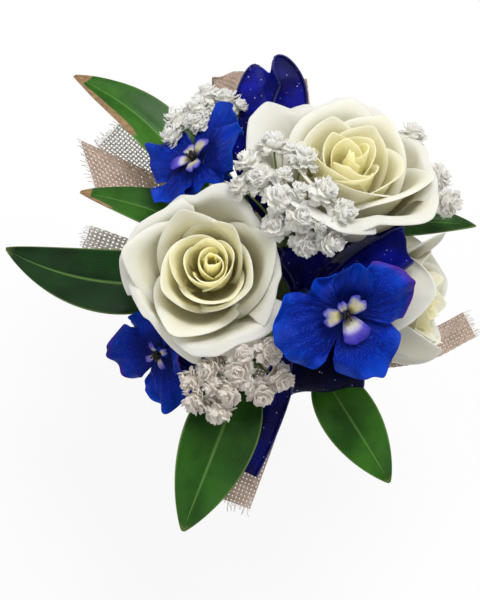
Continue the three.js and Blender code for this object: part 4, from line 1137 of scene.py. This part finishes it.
bandLook = {
    "radius": 28.6, "half": 9, "thick": 1.0, "low": 23.6, "high": 26.4, "slotIn": 10.8, "slotOut": 15.5,
    "overBar": 20.2, "shoulder": 14.3, "turnsAt": 30, "steps": 720, "sectionPoints": 14, "ruche": 2.3,
    "ruffle": 0.16, "seams": 5.5, "lapRadius": 30.2, "lapLength": 14, "stitches": 12, "stitchPitch": 1.4,
    "stitchLift": 0.62, "stitchRadius": 0.16, "stitchedAt": (-0.8, 0.8)}


def bandLoop():  # the band's middle line in x and z, and the way along it
    radius, low, high = bandLook["radius"], bandLook["low"], bandLook["high"]
    corner = radius * math.cos(math.radians(bandLook["turnsAt"]))
    t = np.linspace(0, 1, 12)[:, None]
    bend = (1 - t) ** 2 * (bandLook["overBar"], high) + 2 * t * (1 - t) * (corner, high)
    bend = bend + t ** 2 * (corner, bandLook["shoulder"])
    slots = ((0, low), (bandLook["slotIn"] - 3, low), (bandLook["slotIn"], low), (bandLook["slotOut"], high))
    under = circle(radius, np.radians(np.linspace(bandLook["turnsAt"], -90, 60))[1:])
    right = np.vstack((slots, bend, under))
    closed = np.vstack((right, (right[1:-1] * (-1, 1))[::-1], right[:1]))
    far = np.concatenate(((0,), np.cumsum(np.linalg.norm(np.diff(closed, axis=0), axis=1))))
    steps = np.linspace(0, far[-1], bandLook["steps"], endpoint=False)
    return np.stack([np.interp(steps, far, places) for places in closed.T], -1), steps


def bandSection():  # flat strip with round edges: place across, place in thickness
    across = np.cos(np.linspace(0, np.pi, bandLook["sectionPoints"]))
    edge = np.sqrt(np.maximum(1 - np.abs(across) ** 6, 0.02))
    return np.concatenate((across, across[::-1])), np.concatenate((edge, -edge[::-1]))


def bandSkin(line, steps, closed):
    run = unit(np.roll(line, -1, 0) - np.roll(line, 1, 0) if closed else np.gradient(line, axis=0))
    normal = np.stack((run[:, 1], -run[:, 0]), -1)
    outwards = normal * np.sign((normal * line).sum(1)).mean()
    across, depth = bandSection()
    y, steps = across * bandLook["half"], steps[:, None]
    stitched = np.exp(-((np.abs(y) - bandLook["seams"]) / 0.5) ** 2) + np.exp(-(y / 0.5) ** 2)
    wave = np.sin(fullTurn * steps / bandLook["ruche"] + 1.1 * np.sin(0.5 * y + steps * 0.11))
    puff = bandLook["ruffle"] * wave * (1 - 0.8 * stitched)
    reach = depth * (bandLook["thick"] / 2 - 0.22 * stitched) + puff * np.sign(depth)
    frill = 1 + 0.012 * wave * (np.abs(across) > 0.9)
    x, z = (line[:, k, None] + outwards[:, k, None] * reach for k in (0, 1))
    skin = Skin()
    skin.rings(np.stack((x, y * frill, z), -1)[:, ::-1], closed=closed)
    return skin


band = bandSkin(*bandLoop(), True).make(
    "satinBand", satinSkin, body=None, stands=("band_top", "band_side_right", "band_side_left", "band_palm"),
    slot="band_satin")
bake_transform(band)
lapAngle = bandLook["lapLength"] / 2 / bandLook["lapRadius"]
angles = np.linspace(-lapAngle, lapAngle, 70) - np.pi / 2
lap = bandSkin(circle(bandLook["lapRadius"], angles), angles * bandLook["lapRadius"], False)
lap.make("satinLap", satinSkin, body="palm_band", stands=("band_seam_lap",), slot="band_satin")
stitches = Skin()
for edge in bandLook["stitchedAt"]:
    for k in range(bandLook["stitches"]):
        zig = np.array((-1, 0, 1))
        turn = lapAngle * (edge + 0.07 * zig) - np.pi / 2
        x, z = circle(bandLook["lapRadius"] + bandLook["stitchLift"], turn).T
        y = bandLook["stitchPitch"] * (k - 5.5 + 0.4 * zig)
        stitches.tube(sampled(np.stack((x, y, z), -1), 6), bandLook["stitchRadius"], 6)
stitches.make("lapStitches", threadSkin, body="palm_band", slot="band_satin")
print("wristband ready")


# floor, light and camera

stageLook = {
    "pulledBand": 0.027, "floorSize": 6, "paper": 0.88, "ambient": 0.34, "lampsAim": (-0.01, 0, 0.04),
    # place, power and size of each lamp
    "lamps": {
        "keyLamp": ((0.22, 0.4, 0.8), 6.2, 0.45),
        "fillLamp": ((-0.6, 0.1, 0.6), 1.6, 0.7),
        "frontLamp": ((0.1, -0.65, 0.5), 0.8, 0.5)},
}
cameraLook = {"height": 72, "lens": 100, "sensor": 36, "aim": (-14.0, -5.04, 36.36), "far": 0.52}
white = (1, 1, 1, 1)


def whereSeen(n):  # 1 where the camera looks, also through sheer cloth
    ray = n.put("ShaderNodeLightPath").outputs
    return n.calc("MAXIMUM", ray["Is Camera Ray"], ray["Is Transmission Ray"])


def paperFloor(n):  # the shadow stays, the far floor is white
    pale = n.mix(n.noise(900, 4), (0.9, 0.9, 0.9, 1), (0.94, 0.94, 0.94, 1))
    paper = n.put("ShaderNodeBsdfDiffuse", {"Color": pale}).outputs[0]
    bright = n.put("ShaderNodeEmission", {"Color": white, "Strength": 1.0}).outputs[0]
    near = n.put("ShaderNodeTexGradient", {"Vector": n.place()}, gradient_type="SPHERICAL").outputs["Fac"]
    share = n.times(whereSeen(n), n.spread(near, 0.2, 0.7, 1.0, stageLook["paper"]))
    both = n.put("ShaderNodeMixShader", {0: share, 1: paper, 2: bright}).outputs[0]
    n.put("ShaderNodeOutputMaterial", {"Surface": both})


def makeStage():
    under = cadLow.z - stageLook["pulledBand"]  # room for the pulled band
    bpy.ops.mesh.primitive_plane_add(size=stageLook["floorSize"], location=(0, 0, under))
    floor = bpy.context.object
    floor.name = "paperFloor"
    floor.data.materials.append(makeMaterial(paperFloor))
    scene.world = bpy.data.worlds.new("studio")
    scene.world.use_nodes = True
    n = Nodes(scene.world.node_tree)
    dim, bright = (n.put("ShaderNodeBackground", {"Color": white, "Strength": power}).outputs[0]
                   for power in (stageLook["ambient"], 1.0))
    both = n.put("ShaderNodeMixShader", {0: whereSeen(n), 1: dim, 2: bright}).outputs[0]
    n.put("ShaderNodeOutputWorld", {"Surface": both})
    for name, (place, power, size) in stageLook["lamps"].items():
        lamp = bpy.data.lights.new(name, "AREA")
        lamp.energy, lamp.size = power, size
        obj = bpy.data.objects.new(name, lamp)
        obj.location = place
        aim = Vector(stageLook["lampsAim"]) - Vector(place)
        obj.rotation_euler = aim.to_track_quat("-Z", "Y").to_euler()
        scene.collection.objects.link(obj)


def makeCamera():
    height = math.radians(cameraLook["height"])
    back = Vector((0, -math.cos(height), math.sin(height)))
    camera = bpy.data.objects.new("camera", bpy.data.cameras.new("camera"))
    camera.data.lens, camera.data.sensor_width = cameraLook["lens"], cameraLook["sensor"]
    camera.location = Vector(cameraLook["aim"]) * mm + back * cameraLook["far"]
    camera.rotation_euler = (-back).to_track_quat("-Z", "Y").to_euler()
    scene.collection.objects.link(camera)
    scene.camera = camera


makeStage()
makeCamera()
print("stage ready")
